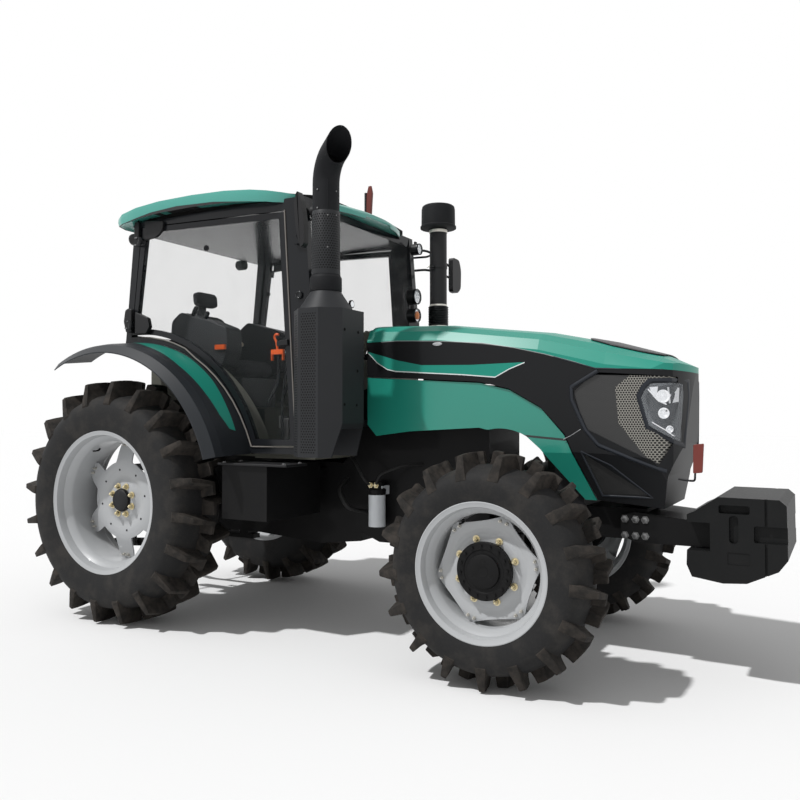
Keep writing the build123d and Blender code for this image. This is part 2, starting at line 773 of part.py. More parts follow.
# ---- windscreen and rear window ----
glass_half = cab_side_y - cab_post
with BuildPart() as cab_glass:
    with BuildSketch(side_plane(glass_half)):
        with BuildLine():
            Polyline((1555, 1945), (1549, 1945), (1494, head_low), (1500, head_low), close=True)
        make_face()
        with BuildLine():
            Polyline((-140, 2100), (-134, 2100), (-64, head_low), (-70, head_low), close=True)
        make_face()
    extrude(amount=2 * glass_half)
save(cab_glass.part, "cab_glass")

# ---- roof: a crowned cap over the headliner, bowed in front and drooping at the rear ----
roof_half = 850
rear_eave = 2925
front_eave = 2905
with BuildPart() as roof:
    with BuildSketch(side_plane(roof_half)):
        with BuildLine():
            Polyline((-235, rear_eave), (-200, 2990), (-60, 3045))
            ThreePointArc((-60, 3045), (500, 3100), (1200, 3050))
            Polyline((1200, 3050), (1560, 2985), (1650, 2925), (1645, front_eave), (1530, front_eave),
                     (1505, head_high), (-120, head_high), (-135, rear_eave), (-235, rear_eave))
        make_face()
    extrude(amount=2 * roof_half)
    with BuildSketch(deck_plane(2800)):
        with BuildLine():
            Line((1380, -roof_half), (-120, -roof_half))
            ThreePointArc((-120, -roof_half), (-200, -800), (-235, -700))
            ThreePointArc((-235, -700), (-250, 0), (-235, 700))
            ThreePointArc((-235, 700), (-200, 800), (-120, roof_half))
            Line((-120, roof_half), (1380, roof_half))
            ThreePointArc((1380, roof_half), (1510, 790), (1570, 620))
            ThreePointArc((1570, 620), (1650, 0), (1570, -620))
            ThreePointArc((1570, -620), (1510, -790), (1380, -roof_half))
        make_face()
    extrude(amount=500, mode=Mode.INTERSECT)
save(roof.part, "roof")

# ---- doors: a black frame round one pane, hinged at the rear ----
door_rim = 42
with BuildPart() as door:
    extrude(door_face(0, -cab_side_y + door_thick), amount=door_thick)
    extrude(door_face(-door_rim, -cab_side_y + door_thick), amount=door_thick, mode=Mode.SUBTRACT)
    # hinge barrels
    for height in hinge_heights:
        with BuildSketch(hinge_plane(height)):
            with Locations((4, 18)):
                Rectangle(26, 38)
            Circle(hinge_barrel)
            Circle(hinge_pin_radius + 0.06, mode=Mode.SUBTRACT)
        extrude(amount=20, both=True)
save_pair(door.part, "door")
with BuildPart() as pane:
    extrude(door_face(-door_rim, -cab_side_y + 16), amount=glass)
save_pair(pane.part, "door_glass")

# ---- fenders: a sheet bent round the wheel, with a lip that rolls down at its outer edge ----
# columns: distance from the middle, radius of the sheet's top
fender_section = [(cab_side_y, 1140), (1000, 1112), (1065, 1098), (1120, 1045)]
fender_arc = (17, 117)
fender_hub = (rear_axle_x + fender_center[0], 0, fender_center[1])
with BuildPart() as fender:
    start = radians(fender_arc[0])
    with BuildSketch(Plane(origin=fender_hub, x_dir=(0, -1, 0), z_dir=(-sin(start), 0, cos(start)))):
        with BuildLine():
            Polyline(*fender_section, *[(y, r - sheet) for y, r in reversed(fender_section)], close=True)
        make_face()
    revolve(axis=Axis(fender_hub, (0, -1, 0)), revolution_arc=fender_arc[1] - fender_arc[0])
save_pair(fender.part, "fender")

# ---- seat, console with the steering column, and the steering wheel on it ----
with BuildPart() as seat:
    with BuildSketch(side_plane(250)):
        with BuildLine():
            Polyline((120, 1620), (120, 1800), (20, 1830), (-60, 2350), (20, 2370), (130, 1930), (560, 1910),
                     (580, 1800), (430, 1790), (380, 1680), (300, 1620), close=True)
        make_face()
    extrude(amount=500)
save(seat.part, "seat")

wheel_tilt = radians(35)


def column_plane(along):
    """Across the steering column, this far up it from the console."""
    return Plane(origin=(rear_axle_x + 1130 - along * sin(wheel_tilt), 0, 1850 + along * cos(wheel_tilt)),
                 x_dir=(0, 1, 0), z_dir=(-sin(wheel_tilt), 0, cos(wheel_tilt)))


with BuildPart() as console:
    with BuildSketch(side_plane(160)):
        with BuildLine():
            Polyline((1130, floor_z), (1080, 1850), (1180, 1960), (1380, 1960), (1420, 1850), (1533, 1800),
                     (1533, floor_z), close=True)
        make_face()
    extrude(amount=320)
    with BuildSketch(column_plane(0)):
        Circle(40)
    extrude(amount=210)
    with BuildSketch(column_plane(200)):
        Circle(205)
        Circle(175, mode=Mode.SUBTRACT)
        with PolarLocations(95, 3, start_angle=90):
            Rectangle(180, 30)
    extrude(amount=26)
save(console.part, "console")

# ---- boxes beside the gearbox: battery on the right, fuel tank with steps on the left ----
with BuildPart() as battery_box:
    with BuildSketch(side_plane(-310)):
        with BuildLine():
            Polyline((950, 800), (950, 1165), (1330, 1165), (1330, 800), close=True)
        make_face()
    extrude(amount=600)
    with BuildSketch(side_plane(-gearbox_half)):
        with Locations((1000, 1080), (1280, 1080)):
            Rectangle(60, 60)
    extrude(amount=120)
save(battery_box.part, "battery_box")

with BuildPart() as fuel_tank:
    with BuildSketch(side_plane(900)):
        with BuildLine():
            Polyline((950, 780), (950, 1165), (1500, 1165), (1500, 780), close=True)
        make_face()
    extrude(amount=560)
    with BuildSketch(side_plane(340)):
        with Locations((1000, 1080), (1440, 1080)):
            Rectangle(60, 60)
    extrude(amount=150)
    # boarding steps on the tank's side
    for x in (1060, 1420):
        with BuildSketch(side_plane(1000)):
            with Locations((x, 830)):
                Rectangle(12, 760)
        extrude(amount=101)
    for z in (455, 740, 1025):
        with BuildSketch(side_plane(1100)):
            with Locations((1240, z)):
                Rectangle(372, 25)
        extrude(amount=199)
save(fuel_tank.part, "fuel_tank")

with BuildPart() as fuel_filter:
    with BuildSketch(deck_plane(740)):
        with Locations((1830, -350)):
            Circle(58)
    extrude(amount=215)
    with BuildSketch(deck_plane(955)):
        with Locations((1830, -320)):
            Rectangle(100, 100)
    extrude(amount=60)
save(fuel_filter.part, "fuel_filter")

# ---- drawbar under the gearbox ----
drawbar_hole = 16
drawbar_z = 515
drawbar_thick = 35
with BuildPart() as drawbar:
    with BuildSketch(deck_plane(drawbar_z)):
        with BuildLine():
            Polyline((500, -40), (-560, -40), (-600, -20), (-600, 20), (-560, 40), (500, 40), close=True)
        make_face()
        with Locations((-550, 0)):
            Circle(drawbar_hole, mode=Mode.SUBTRACT)
    extrude(amount=drawbar_thick)
    hanger = gearbox_base - drawbar_z - drawbar_thick + 1
    with BuildSketch(side_plane(60)):
        for x in (-200, 420):
            with Locations((x, gearbox_base - hanger / 2)):
                Rectangle(90, hanger)
    extrude(amount=120)
save(drawbar.part, "drawbar")

# ---- linkage: lower links, lift arms and lift rods ----


def along_link(start, distance):
    """A point at a distance to the rear of start, down the links' slope."""
    return (start[0] - distance * cos(link_slope), start[1] - distance * sin(link_slope))


low_pin = along_link(link_pivot, link_pin)
high_pin = along_link(arm_pivot, link_pin)
link_end = along_link(link_pivot, link_length)
link_plan = [(-20, 288), (-640, 288), (link_end[0] - 30, hitch_y - 12)]
with BuildPart() as lower_links:
    for side in (-1, 1):
        with BuildSketch(deck_plane(0)):
            with BuildLine():
                Polyline(*[(x, side * y) for x, y in link_plan],
                         *[(x, side * (y + 24)) for x, y in reversed(link_plan)], close=True)
            make_face()
        extrude(amount=1000)
    with BuildSketch(side_plane(600)):
        with BuildLine():
            top = (link_pivot[0], link_pivot[1] + 32)
            low = (link_pivot[0], link_pivot[1] - 32)
            Polyline(along_link(top, -40), along_link(top, link_length), along_link(low, link_length),
                     along_link(low, -40), close=True)
        make_face()
    extrude(amount=1200, mode=Mode.INTERSECT)
    for y in (hitch_y + 22, -hitch_y + 22):
        with BuildSketch(side_plane(y)):
            with Locations(link_end):
                Circle(45)
        extrude(amount=44)
        with BuildSketch(side_plane(y)):
            with Locations(link_end):
                Circle(hitch_ball)
        extrude(amount=44, mode=Mode.SUBTRACT)
    for y in (link_y + 44, -link_y):
        with BuildSketch(side_plane(y)):
            with Locations(low_pin):
                Circle(rod_pin)
        extrude(amount=44)
    with BuildSketch(side_plane(400)):
        with Locations(link_pivot):
            Circle(pivot_radius + 0.06)
    extrude(amount=800, mode=Mode.SUBTRACT)
save(lower_links.part, "lower_links")

arm_width = 24
with BuildPart() as lift_arms:
    with BuildSketch(side_plane(link_y + 12)):
        with Locations(arm_pivot):
            Circle(shaft_radius)
    extrude(amount=2 * (link_y + 12))
    for y in (link_y + 12, -link_y + 12):
        with BuildSketch(side_plane(y)):
            with BuildLine():
                Polyline((arm_pivot[0] - 5, arm_pivot[1] + shaft_radius), (high_pin[0], high_pin[1] + 26),
                         (high_pin[0], high_pin[1] - 26), (arm_pivot[0] - 5, arm_pivot[1] - shaft_radius), close=True)
            make_face()
            with Locations(high_pin):
                Circle(26)
        extrude(amount=arm_width)
    for y in (link_y + 44, -link_y):
        with BuildSketch(side_plane(y)):
            with Locations(high_pin):
                Circle(rod_pin)
        extrude(amount=44)
save(lift_arms.part, "lift_arms")

rod_inner = link_y + 18
with BuildPart() as lift_rods:
    for y in (rod_inner + 20, -rod_inner):
        with BuildSketch(side_plane(y)):
            with BuildLine():
                Polyline((high_pin[0] - 13, high_pin[1]), (high_pin[0] + 13, high_pin[1]),
                         (low_pin[0] + 13, low_pin[1]), (low_pin[0] - 13, low_pin[1]), close=True)
            make_face()
            with Locations(high_pin, low_pin):
                Circle(28)
            with Locations(high_pin):
                Circle(rod_pin + 0.06, mode=Mode.SUBTRACT)
            with Locations(low_pin):
                Circle(rod_pin + 0.8, mode=Mode.SUBTRACT)
        extrude(amount=20)
save(lift_rods.part, "lift_rods")

# ---- mirrors on arms from the cab's front posts; the right one is folded in ----
# columns: forward, left, bottom, height, turn from forward, heights of the arms at the post
mirror_plates = [(1566, -850, 2580, 330, 119, (2830, 2660)), (1805, 935, 2500, 285, 101, (2830, 2690))]
arm_drop = (0, 75)
with BuildPart() as mirrors:
    for (x, y, base, height, turn, arms), drop in zip(mirror_plates, arm_drop):
        side = 1 if y > 0 else -1
        with BuildSketch(deck_plane(base)):
            with Locations((x, y)):
                RectangleRounded(170, 42, 15, rotation=turn)
        extrude(amount=height)
        with BuildSketch(side_plane(side * (cab_side_y + 10) + 10)):
            with Locations((1475, 2745)):
                Rectangle(55, 240)
        extrude(amount=20)
        for z in arms:
            add(bar(at(1475, side * (cab_side_y + 12), z), at(x, y, z - drop), 10))
save(mirrors.part, "mirrors")

# ---- lamps: two on a bracket at each front post, and four under the roof's eaves ----
# columns: forward, left, height of the lamp's middle, its radius, depth
lamp_places = [(1572, 588, 2440, 62, 62), (1572, 588, 2290, 56, 62),
               (1572, -588, 2440, 62, 62), (1572, -588, 2290, 56, 62),
               (1540, 690, 2842, 46, 60), (1540, -690, 2842, 46, 60),
               (-160, 620, 2865, 44, -60), (-160, -620, 2865, 44, -60)]
with BuildPart() as work_lamps:
    for x, y, z, r, depth in lamp_places:
        with BuildSketch(cross_plane(x)):
            with Locations((y, z)):
                Circle(r)
        extrude(amount=depth)
    for x, top in ((1570, front_eave), (-190, rear_eave)):
        for y in (690, -690) if x > 0 else (620, -620):
            with BuildSketch(side_plane(y + 15)):
                with Locations((x, (2860 + top) / 2)):
                    Rectangle(14, top - 2860)
            extrude(amount=30)
    for side in (-1, 1):
        with BuildSketch(cross_plane(1560)):
            with BuildLine():
                Polyline(*[(side * y, z) for y, z in ((750, 2210), (750, 2270), (600, 2270), (600, 2460),
                                                      (575, 2460), (575, 2210))], close=True)
            make_face()
        extrude(amount=13)
save(work_lamps.part, "work_lamps")
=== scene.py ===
import json
import math

import bpy
import numpy as np
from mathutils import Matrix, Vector

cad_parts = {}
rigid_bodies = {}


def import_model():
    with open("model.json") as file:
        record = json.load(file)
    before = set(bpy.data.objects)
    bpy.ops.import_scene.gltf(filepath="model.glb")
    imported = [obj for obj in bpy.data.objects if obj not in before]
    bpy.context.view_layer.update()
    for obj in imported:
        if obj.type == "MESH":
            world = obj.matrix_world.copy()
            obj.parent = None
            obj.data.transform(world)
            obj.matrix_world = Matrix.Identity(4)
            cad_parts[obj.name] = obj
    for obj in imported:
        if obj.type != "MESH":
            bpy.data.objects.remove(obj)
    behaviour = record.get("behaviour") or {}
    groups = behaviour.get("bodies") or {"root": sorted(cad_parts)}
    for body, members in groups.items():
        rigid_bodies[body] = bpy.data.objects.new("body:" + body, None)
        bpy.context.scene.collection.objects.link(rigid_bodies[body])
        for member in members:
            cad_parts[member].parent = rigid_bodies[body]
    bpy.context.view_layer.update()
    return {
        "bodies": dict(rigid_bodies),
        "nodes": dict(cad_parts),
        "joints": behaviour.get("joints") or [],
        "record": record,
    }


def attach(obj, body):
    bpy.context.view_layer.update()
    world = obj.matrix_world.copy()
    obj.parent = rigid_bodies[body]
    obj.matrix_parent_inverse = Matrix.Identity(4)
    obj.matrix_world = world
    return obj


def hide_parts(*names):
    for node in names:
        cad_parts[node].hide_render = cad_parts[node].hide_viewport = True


# A farm tractor's looks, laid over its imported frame. Metres, +X forward, +Y left, +Z up.
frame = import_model()

axleRear = -1.65  # lengths along the tractor count forward from here, as a workshop drawing does


# ---- shapes: each is (points, faces), joined into pieces later ----
def gridShape(points, wrapRows=False, wrapCols=False, capRows=False):
    # a surface on a grid of rows and columns; capRows closes the first and last row with one face
    rows, cols = points.shape[:2]
    index = np.arange(rows * cols).reshape(rows, cols)
    a = index if wrapRows else index[:-1]
    b = np.roll(index, -1, 0) if wrapRows else index[1:]
    if wrapCols:
        quads = np.stack([a, np.roll(a, -1, 1), np.roll(b, -1, 1), b], -1)
    else:
        quads = np.stack([a[:, :-1], a[:, 1:], b[:, 1:], b[:, :-1]], -1)
    faces = quads.reshape(-1, 4).tolist()
    if capRows:
        faces.append(index[0][::-1].tolist())
        faces.append(index[-1].tolist())
    return points.reshape(-1, 3), faces


def solidShape(rows):
    # closed rows of points with a face over both ends
    return gridShape(np.array(rows), wrapCols=True, capRows=True)


def boxShape(low, high):
    # eight corners from two opposite ones
    ring = np.array([(0, 0), (1, 0), (1, 1), (0, 1)])
    low, high = np.array(low, float), np.array(high, float)
    corners = [np.column_stack([np.where(ring, high[:2], low[:2]), np.full(4, z)]) for z in (low[2], high[2])]
    return solidShape(corners)


def areaOf(flat):
    # positive where the outline runs against the clock
    x, y = flat[:, 0], flat[:, 1]
    return 0.5 * np.sum(x * np.roll(y, -1) - y * np.roll(x, -1))


def prismShape(outline, axis, low, high):
    # an outline of two coordinates carried along the third axis, from low to high
    flat = np.array(outline, float)
    if areaOf(flat) * (-1 if axis == 1 else 1) < 0:
        flat = flat[::-1]
    return solidShape([np.insert(flat, axis, level, 1) for level in (low, high)])


def plateShape(corners, radius, axis, low, high):
    return prismShape(roundedOutline(corners, radius), axis, low, high)


def latheShape(profile, center, axis=1, segments=64, closed=False):
    # a profile of (distance along the axis, radius) turned about it
    profile = np.array(profile, float)
    turn = np.linspace(0, 2 * math.pi, segments, endpoint=False)
    points = np.zeros((len(profile), segments, 3))
    u, v = [k for k in range(3) if k != axis]
    points[..., u] = profile[:, 1:2] * np.cos(turn)
    points[..., v] = profile[:, 1:2] * np.sin(turn)
    points[..., axis] = profile[:, :1]
    shape = gridShape(points + np.array(center), wrapRows=closed, wrapCols=True, capRows=not closed)
    return flipped(shape) if axis == 1 else shape


def flipped(shape):
    return shape[0], [face[::-1] for face in shape[1]]


def tubeShape(path, radius, sides=12):
    # a round section carried along a path, its frame turned as little as possible at each point
    path = np.array(path, float)
    radius = np.broadcast_to(radius, len(path))
    tangent = np.gradient(path, axis=0)
    tangent /= np.linalg.norm(tangent, axis=1, keepdims=True)
    side = np.cross(tangent[0], (0.3, 0.2, 0.93))
    rings = []
    turn = np.linspace(0, 2 * math.pi, sides, endpoint=False)
    for point, t, r in zip(path, tangent, radius):
        side = side - t * side.dot(t)
        side /= np.linalg.norm(side)
        other = np.cross(t, side)
        rings.append(point + r * (np.outer(np.cos(turn), side) + np.outer(np.sin(turn), other)))
    return solidShape(rings)


def roundedPath(corners, radius, steps=6):
    # straight runs with each corner replaced by a quadratic arc
    corners = np.array(corners, float)
    out = [corners[0]]
    for before, corner, after in zip(corners, corners[1:], corners[2:]):
        a = corner + (before - corner) / np.linalg.norm(before - corner) * radius
        b = corner + (after - corner) / np.linalg.norm(after - corner) * radius
        t = np.linspace(0, 1, steps)[:, None]
        out.extend((1 - t) ** 2 * a + 2 * t * (1 - t) * corner + t**2 * b)
    out.append(corners[-1])
    return np.array(out)


def pipeShape(corners, bend, radius, sides=12):
    return tubeShape(roundedPath(corners, bend), radius, sides)


def roundedOutline(corners, radius, steps=5):
    # a closed outline whose corners are quadratic arcs; radius is one value or one for each corner
    corners = np.array(corners, float)
    sizes = np.broadcast_to(radius, len(corners))
    out = []
    t = np.linspace(0, 1, steps)[:, None]
    for k, corner in enumerate(corners):
        before, after = corners[k - 1], corners[(k + 1) % len(corners)]
        a = corner + (before - corner) / np.linalg.norm(before - corner) * sizes[k]
        b = corner + (after - corner) / np.linalg.norm(after - corner) * sizes[k]
        out.extend((1 - t) ** 2 * a + 2 * t * (1 - t) * corner + t**2 * b)
    return np.array(out)


def boltShape(center, axis, radius, height, sides=6):
    # a washer with a hexagon head; a height below zero stands out against the axis
    profile = np.array([(0, 1.5), (0.22, 1.5), (0.24, 1.05), (0.85, 1), (1, 0.72)]) * (height, radius)
    return latheShape(profile, center, axis, sides)


def mirrored(shape):
    return shape[0] * (1, -1, 1), [face[::-1] for face in shape[1]]


def onSide(shapes, side):
    return shapes if side == "right" else [mirrored(shape) for shape in shapes]


def bothSides(shapes):
    return shapes + [mirrored(shape) for shape in shapes]


def moved(shape, offset=(0, 0, 0), turn=0, axis=1, pivot=(0, 0, 0)):
    # turned about an axis through the pivot, then shifted
    points = shape[0] - pivot
    u, v = [k for k in range(3) if k != axis][::-1 if axis == 1 else 1]
    out = points.copy()
    out[:, u] = points[:, u] * math.cos(turn) - points[:, v] * math.sin(turn)
    out[:, v] = points[:, u] * math.sin(turn) + points[:, v] * math.cos(turn)
    return out + pivot + offset, shape[1]


def outward(shape):
    # turned so that a closed shape's signed volume is above zero
    points, faces = shape
    volume = 0.0
    for size in {len(face) for face in faces}:
        corners = points[np.array([face for face in faces if len(face) == size])]
        for k in range(1, size - 1):
            volume += np.einsum("ij,ij->", corners[:, 0], np.cross(corners[:, k], corners[:, k + 1]))
    return shape if volume > 0 else flipped(shape)


def addObject(name, data):
    obj = bpy.data.objects.new(name, data)
    bpy.context.scene.collection.objects.link(obj)
    return obj


def aim(obj, direction):
    # lights and the camera look along their own -Z
    obj.rotation_euler = Vector(direction).to_track_quat("-Z", "Y").to_euler()


def piece(name, shapes, material, on="chassis", stands=(), smooth=35, bevel=0, bevelSteps=2, wall=0):
    # joins shapes into one object, finishes it with modifiers and hangs it on its body; a wall is for open sheets
    if not wall:
        shapes = [outward(shape) for shape in shapes]
    points = np.concatenate([s[0] for s in shapes]) + (axleRear, 0, 0)
    starts = np.cumsum([0] + [len(s[0]) for s in shapes])
    faces = [[k + start for k in face] for s, start in zip(shapes, starts) for face in s[1]]
    mesh = bpy.data.meshes.new(name)
    mesh.from_pydata(points.tolist(), [], faces)
    obj = addObject(name, mesh)
    if wall:
        solid = obj.modifiers.new("wall", "SOLIDIFY")
        solid.thickness = wall
        solid.offset = -1
    if bevel:
        edge = obj.modifiers.new("edges", "BEVEL")
        edge.width = bevel
        edge.segments = bevelSteps
        edge.limit_method = "ANGLE"
        edge.angle_limit = math.radians(40)
    mesh.materials.append(finish[material])
    mesh.shade_smooth()
    mesh.set_sharp_from_angle(angle=math.radians(smooth))
    if bevel:
        obj.modifiers.new("even", "WEIGHTED_NORMAL").keep_sharp = True
    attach(obj, on)
    if stands:
        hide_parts(*stands)
    return obj


# ---- camera first, at the viewing angle ----
cameraPlace = dict(at=(2.978, -5.0245, 1.492), forward=(-0.48874, 0.87221, 0.01943), lens=35.95)


def makeCamera():
    data = bpy.data.cameras.new("camera")
    data.lens = cameraPlace["lens"]
    data.sensor_width = 36
    data.clip_end = 200
    obj = addObject("camera", data)
    obj.location = cameraPlace["at"]
    aim(obj, cameraPlace["forward"])
    bpy.context.scene.camera = obj
    bpy.context.scene.view_settings.view_transform = "Standard"


makeCamera()
print("camera set")


# ---- materials: sockets as values ----
class Wire:
    # wraps one socket of a node tree, so that shader sums are written as Python expressions
    def __init__(self, tree, socket):
        self.tree = tree
        self.socket = socket

    def node(self, kind, settings=None, **inputs):
        # n0, n1 and so on name inputs by number; any other key is the input's own name
        made = self.tree.nodes.new(kind)
        for key, value in (settings or {}).items():
            setattr(made, key, value)
        for key, value in inputs.items():
            target = made.inputs[int(key[1:]) if key[1:].isdigit() else key]
            if isinstance(value, Wire):
                self.tree.links.new(value.socket, target)
            else:
                target.default_value = value
        return made

    def out(self, kind, settings=None, **inputs):
        return Wire(self.tree, self.node(kind, settings, **inputs).outputs[0])

    def math(self, operation, *others):
        # this value put through one operation, together with any others
        values = {f"n{k}": value for k, value in enumerate((self, *others))}
        return self.out("ShaderNodeMath", {"operation": operation}, **values)

    def __add__(self, other):
        return self.math("ADD", other)

    def __sub__(self, other):
        return self.math("SUBTRACT", other)

    def __rsub__(self, other):
        return self * -1.0 + other

    def __mul__(self, other):
        return self.math("MULTIPLY", other)

    def __truediv__(self, other):
        return self.math("DIVIDE", other)

    def __gt__(self, other):
        return self.math("GREATER_THAN", other)

    def __lt__(self, other):
        return self.math("LESS_THAN", other)

    def blend(self, first, second):
        # this value as the factor between two colours
        mixed = self.node("ShaderNodeMix", {"data_type": "RGBA"}, n0=self)
        for target, value in ((mixed.inputs[6], first), (mixed.inputs[7], second)):
            if isinstance(value, Wire):
                self.tree.links.new(value.socket, target)
            else:
                target.default_value = tuple(value) + (1,)
        return Wire(self.tree, mixed.outputs[2])

    def limit(self, low, high, kind="LINEAR"):
        # 0 below low, 1 above high
        return self.out("ShaderNodeMapRange", {"interpolation_type": kind}, n0=self, n1=low, n2=high)

    def smooth(self, low, high):
        return self.limit(low, high, "SMOOTHSTEP")


def startMaterial(name):
    material = bpy.data.materials.new(name)
    material.use_nodes = True
    tree = material.node_tree
    place = Wire(tree, tree.nodes.new("ShaderNodeTexCoord").outputs["Object"])
    return material, tree.nodes["Principled BSDF"], place


def setShader(place, shader, **values):
    # sets or links the shader's own sockets
    for key, value in values.items():
        target = shader.inputs[key.replace("_", " ")]
        if isinstance(value, Wire):
            place.tree.links.new(value.socket, target)
        else:
            target.default_value = tuple(value) + (1,) if isinstance(value, tuple) else value


def noise(place, scale, detail=4.0, rough=0.5):
    return place.out("ShaderNodeTexNoise", Vector=place, Scale=scale, Detail=detail, Roughness=rough)


def bump(place, height, strength, distance):
    return place.out("ShaderNodeBump", Strength=strength, Distance=distance, Height=height)


def orangePeel(place):
    return bump(place, noise(place, 45.0, 2.0), 0.02, 0.002)


def axes(place):
    split = place.node("ShaderNodeSeparateXYZ", n0=place)
    return [Wire(place.tree, split.outputs[k]) for k in range(3)]


def scaled(color, factor):
    return tuple(factor * part for part in color)


def paintMaterial(name, color, rough=0.3, coat=0.6, dusty=0.15, dust=(0.32, 0.29, 0.25), grain=0.0):
    # paint with slow colour drift, fine orange peel and dust that lies low and in patches
    material, shader, place = startMaterial(name)
    slow = noise(place, 1.7, 3.0)
    height = axes(place)[2]
    drift = slow.blend(scaled(color, 0.9), scaled(color, 1.1))
    low = (1 - height.limit(0.1, 1.6)) * dusty + noise(place, 9.0, 6.0).limit(0.5, 0.75) * dusty * 0.5
    relief = orangePeel(place)
    if grain:
        relief = bump(place, noise(place, 320.0, 2.0) + noise(place, 60.0, 3.0) * 0.6, grain, 0.002)
    setShader(place, shader, Base_Color=low.blend(drift, dust), Roughness=low * 0.6 + rough + slow * 0.05,
              Coat_Weight=coat, Coat_Roughness=0.06, Specular_IOR_Level=0.4 if max(color) > 0.1 else 0.12,
              Normal=relief)
    return material


def rubberMaterial(name):
    # dark rubber, dusty brown in patches, with fine moulded grain
    material, shader, place = startMaterial(name)
    patch = noise(place, 7.0, 8.0, 0.62)
    fine = noise(place, 90.0, 6.0, 0.7)
    dust = patch.smooth(0.42, 0.72) * 0.55 + fine.smooth(0.45, 0.8) * 0.25
    setShader(place, shader, Base_Color=dust.blend((0.014, 0.014, 0.0145), (0.044, 0.04, 0.036)),
              Roughness=patch * 0.22 + 0.62, Specular_IOR_Level=0.2, Normal=bump(place, fine, 0.25, 0.003))
    return material


def lugMaterial(name):
    # lug rubber: worn, brown with dry soil
    material, shader, place = startMaterial(name)
    patch = noise(place, 16.0, 8.0, 0.65)
    fine = noise(place, 140.0, 5.0, 0.7)
    soil = patch.smooth(0.3, 0.75) * 0.7
    setShader(place, shader, Base_Color=soil.blend((0.018, 0.017, 0.016), (0.066, 0.056, 0.048)),
              Roughness=fine * 0.15 + 0.75, Specular_IOR_Level=0.15,
              Normal=bump(place, fine + patch, 0.35, 0.004))
    return material


def plasticMaterial(name, color, rough=0.5, grain=0.12):
    material, shader, place = startMaterial(name)
    slow = noise(place, 3.0, 4.0)
    setShader(place, shader, Base_Color=slow.blend(scaled(color, 0.85), scaled(color, 1.2)),
              Roughness=slow * 0.12 + rough, Specular_IOR_Level=0.25,
              Normal=bump(place, noise(place, 420.0, 2.0), grain, 0.001))
    return material


def glassMaterial(name, tint, alpha):
    # thin sheet glass: mostly clear, with its reflections and faint smears
    material, shader, place = startMaterial(name)
    smear = noise(place, 4.0, 6.0).smooth(0.45, 0.8)
    setShader(place, shader, Base_Color=tint, Roughness=smear * 0.05 + 0.03, Alpha=smear * 0.012 + alpha,
              Specular_IOR_Level=0.4)
    return material


def metalMaterial(name, color, rough):
    material, shader, place = startMaterial(name)
    patch = noise(place, 30.0, 5.0)
    setShader(place, shader, Base_Color=patch.blend(scaled(color, 0.9), color), Metallic=1.0,
              Roughness=patch * 0.15 + rough)
    return material


finish = {
    # chassis black: black paint, its base colour set darker still as painted shade of the deep shadow under the tractor
    "black": paintMaterial("chassis black and painted shade", (0.0045, 0.0045, 0.005), 0.5, 0.05, 0.04, (0.08, 0.075, 0.065), 0.08),
    "charcoal": paintMaterial("charcoal heatproof", (0.012, 0.0125, 0.014), 0.6, 0.0, 0.03, grain=0.1),
    "rim": paintMaterial("wheel silver", (0.4, 0.41, 0.42), 0.36, 0.2, 0.06, (0.34, 0.33, 0.31)),
    "weight": paintMaterial("weight iron", (0.006, 0.0065, 0.007), 0.5, 0.05, 0.04, (0.1, 0.09, 0.08), 0.35),
    "filter": paintMaterial("filter white", (0.66, 0.69, 0.72), 0.3, 0.5, 0.05),
    "rubber": rubberMaterial("tyre rubber"),
    "lug": lugMaterial("lug rubber"),
    "glass": glassMaterial("cab glass", (0.05, 0.06, 0.06), 0.07),
    "lampGlass": glassMaterial("lamp cover", (0.75, 0.8, 0.85), 0.1),
}
# name of the finish: name of the material, colour, roughness, grain
plastics = dict(
    greyTub=("cab lining", (0.12, 0.12, 0.1), 0.55), plastic=("black plastic", (0.011, 0.011, 0.012), 0.42),
    seat=("seat cloth", (0.05, 0.05, 0.055), 0.85, 0.5), amber=("amber lens", (0.75, 0.2, 0.02), 0.25, 0.05),
    white=("white lens", (0.75, 0.76, 0.78), 0.2, 0.05), cream=("armrest", (0.38, 0.33, 0.26), 0.6),
    orange=("orange plastic", (0.8, 0.12, 0.02), 0.35, 0.05), hose=("hose", (0.01, 0.01, 0.01), 0.5),
    gloss=("gloss black", (0.01, 0.011, 0.013), 0.12, 0.0), rimBlack=("window rim", (0.018, 0.021, 0.027), 0.3, 0.03),
    lampDark=("lamp inside", (0.03, 0.032, 0.036), 0.3, 0.0), pitch=("soot", (0.002, 0.002, 0.002), 0.9, 0.0),
    redBrown=("red-brown plastic", (0.16, 0.035, 0.028), 0.35, 0.05),
    stripGrey=("weather strip", (0.19, 0.175, 0.16), 0.5, 0.1), console=("console plastic", (0.035, 0.037, 0.04), 0.5))
metals = dict(
    zinc=("zinc bolts", (0.62, 0.6, 0.55), 0.32), brass=("yellow zinc nuts", (0.66, 0.58, 0.38), 0.34),
    chrome=("reflector", (0.85, 0.86, 0.88), 0.08), mirror=("mirror glass", (0.8, 0.82, 0.84), 0.03),
    zincDull=("dull rivets", (0.2, 0.2, 0.2), 0.4))
finish.update({key: plasticMaterial(*values) for key, values in plastics.items()})
finish.update({key: metalMaterial(*values) for key, values in metals.items()})
print("materials made")


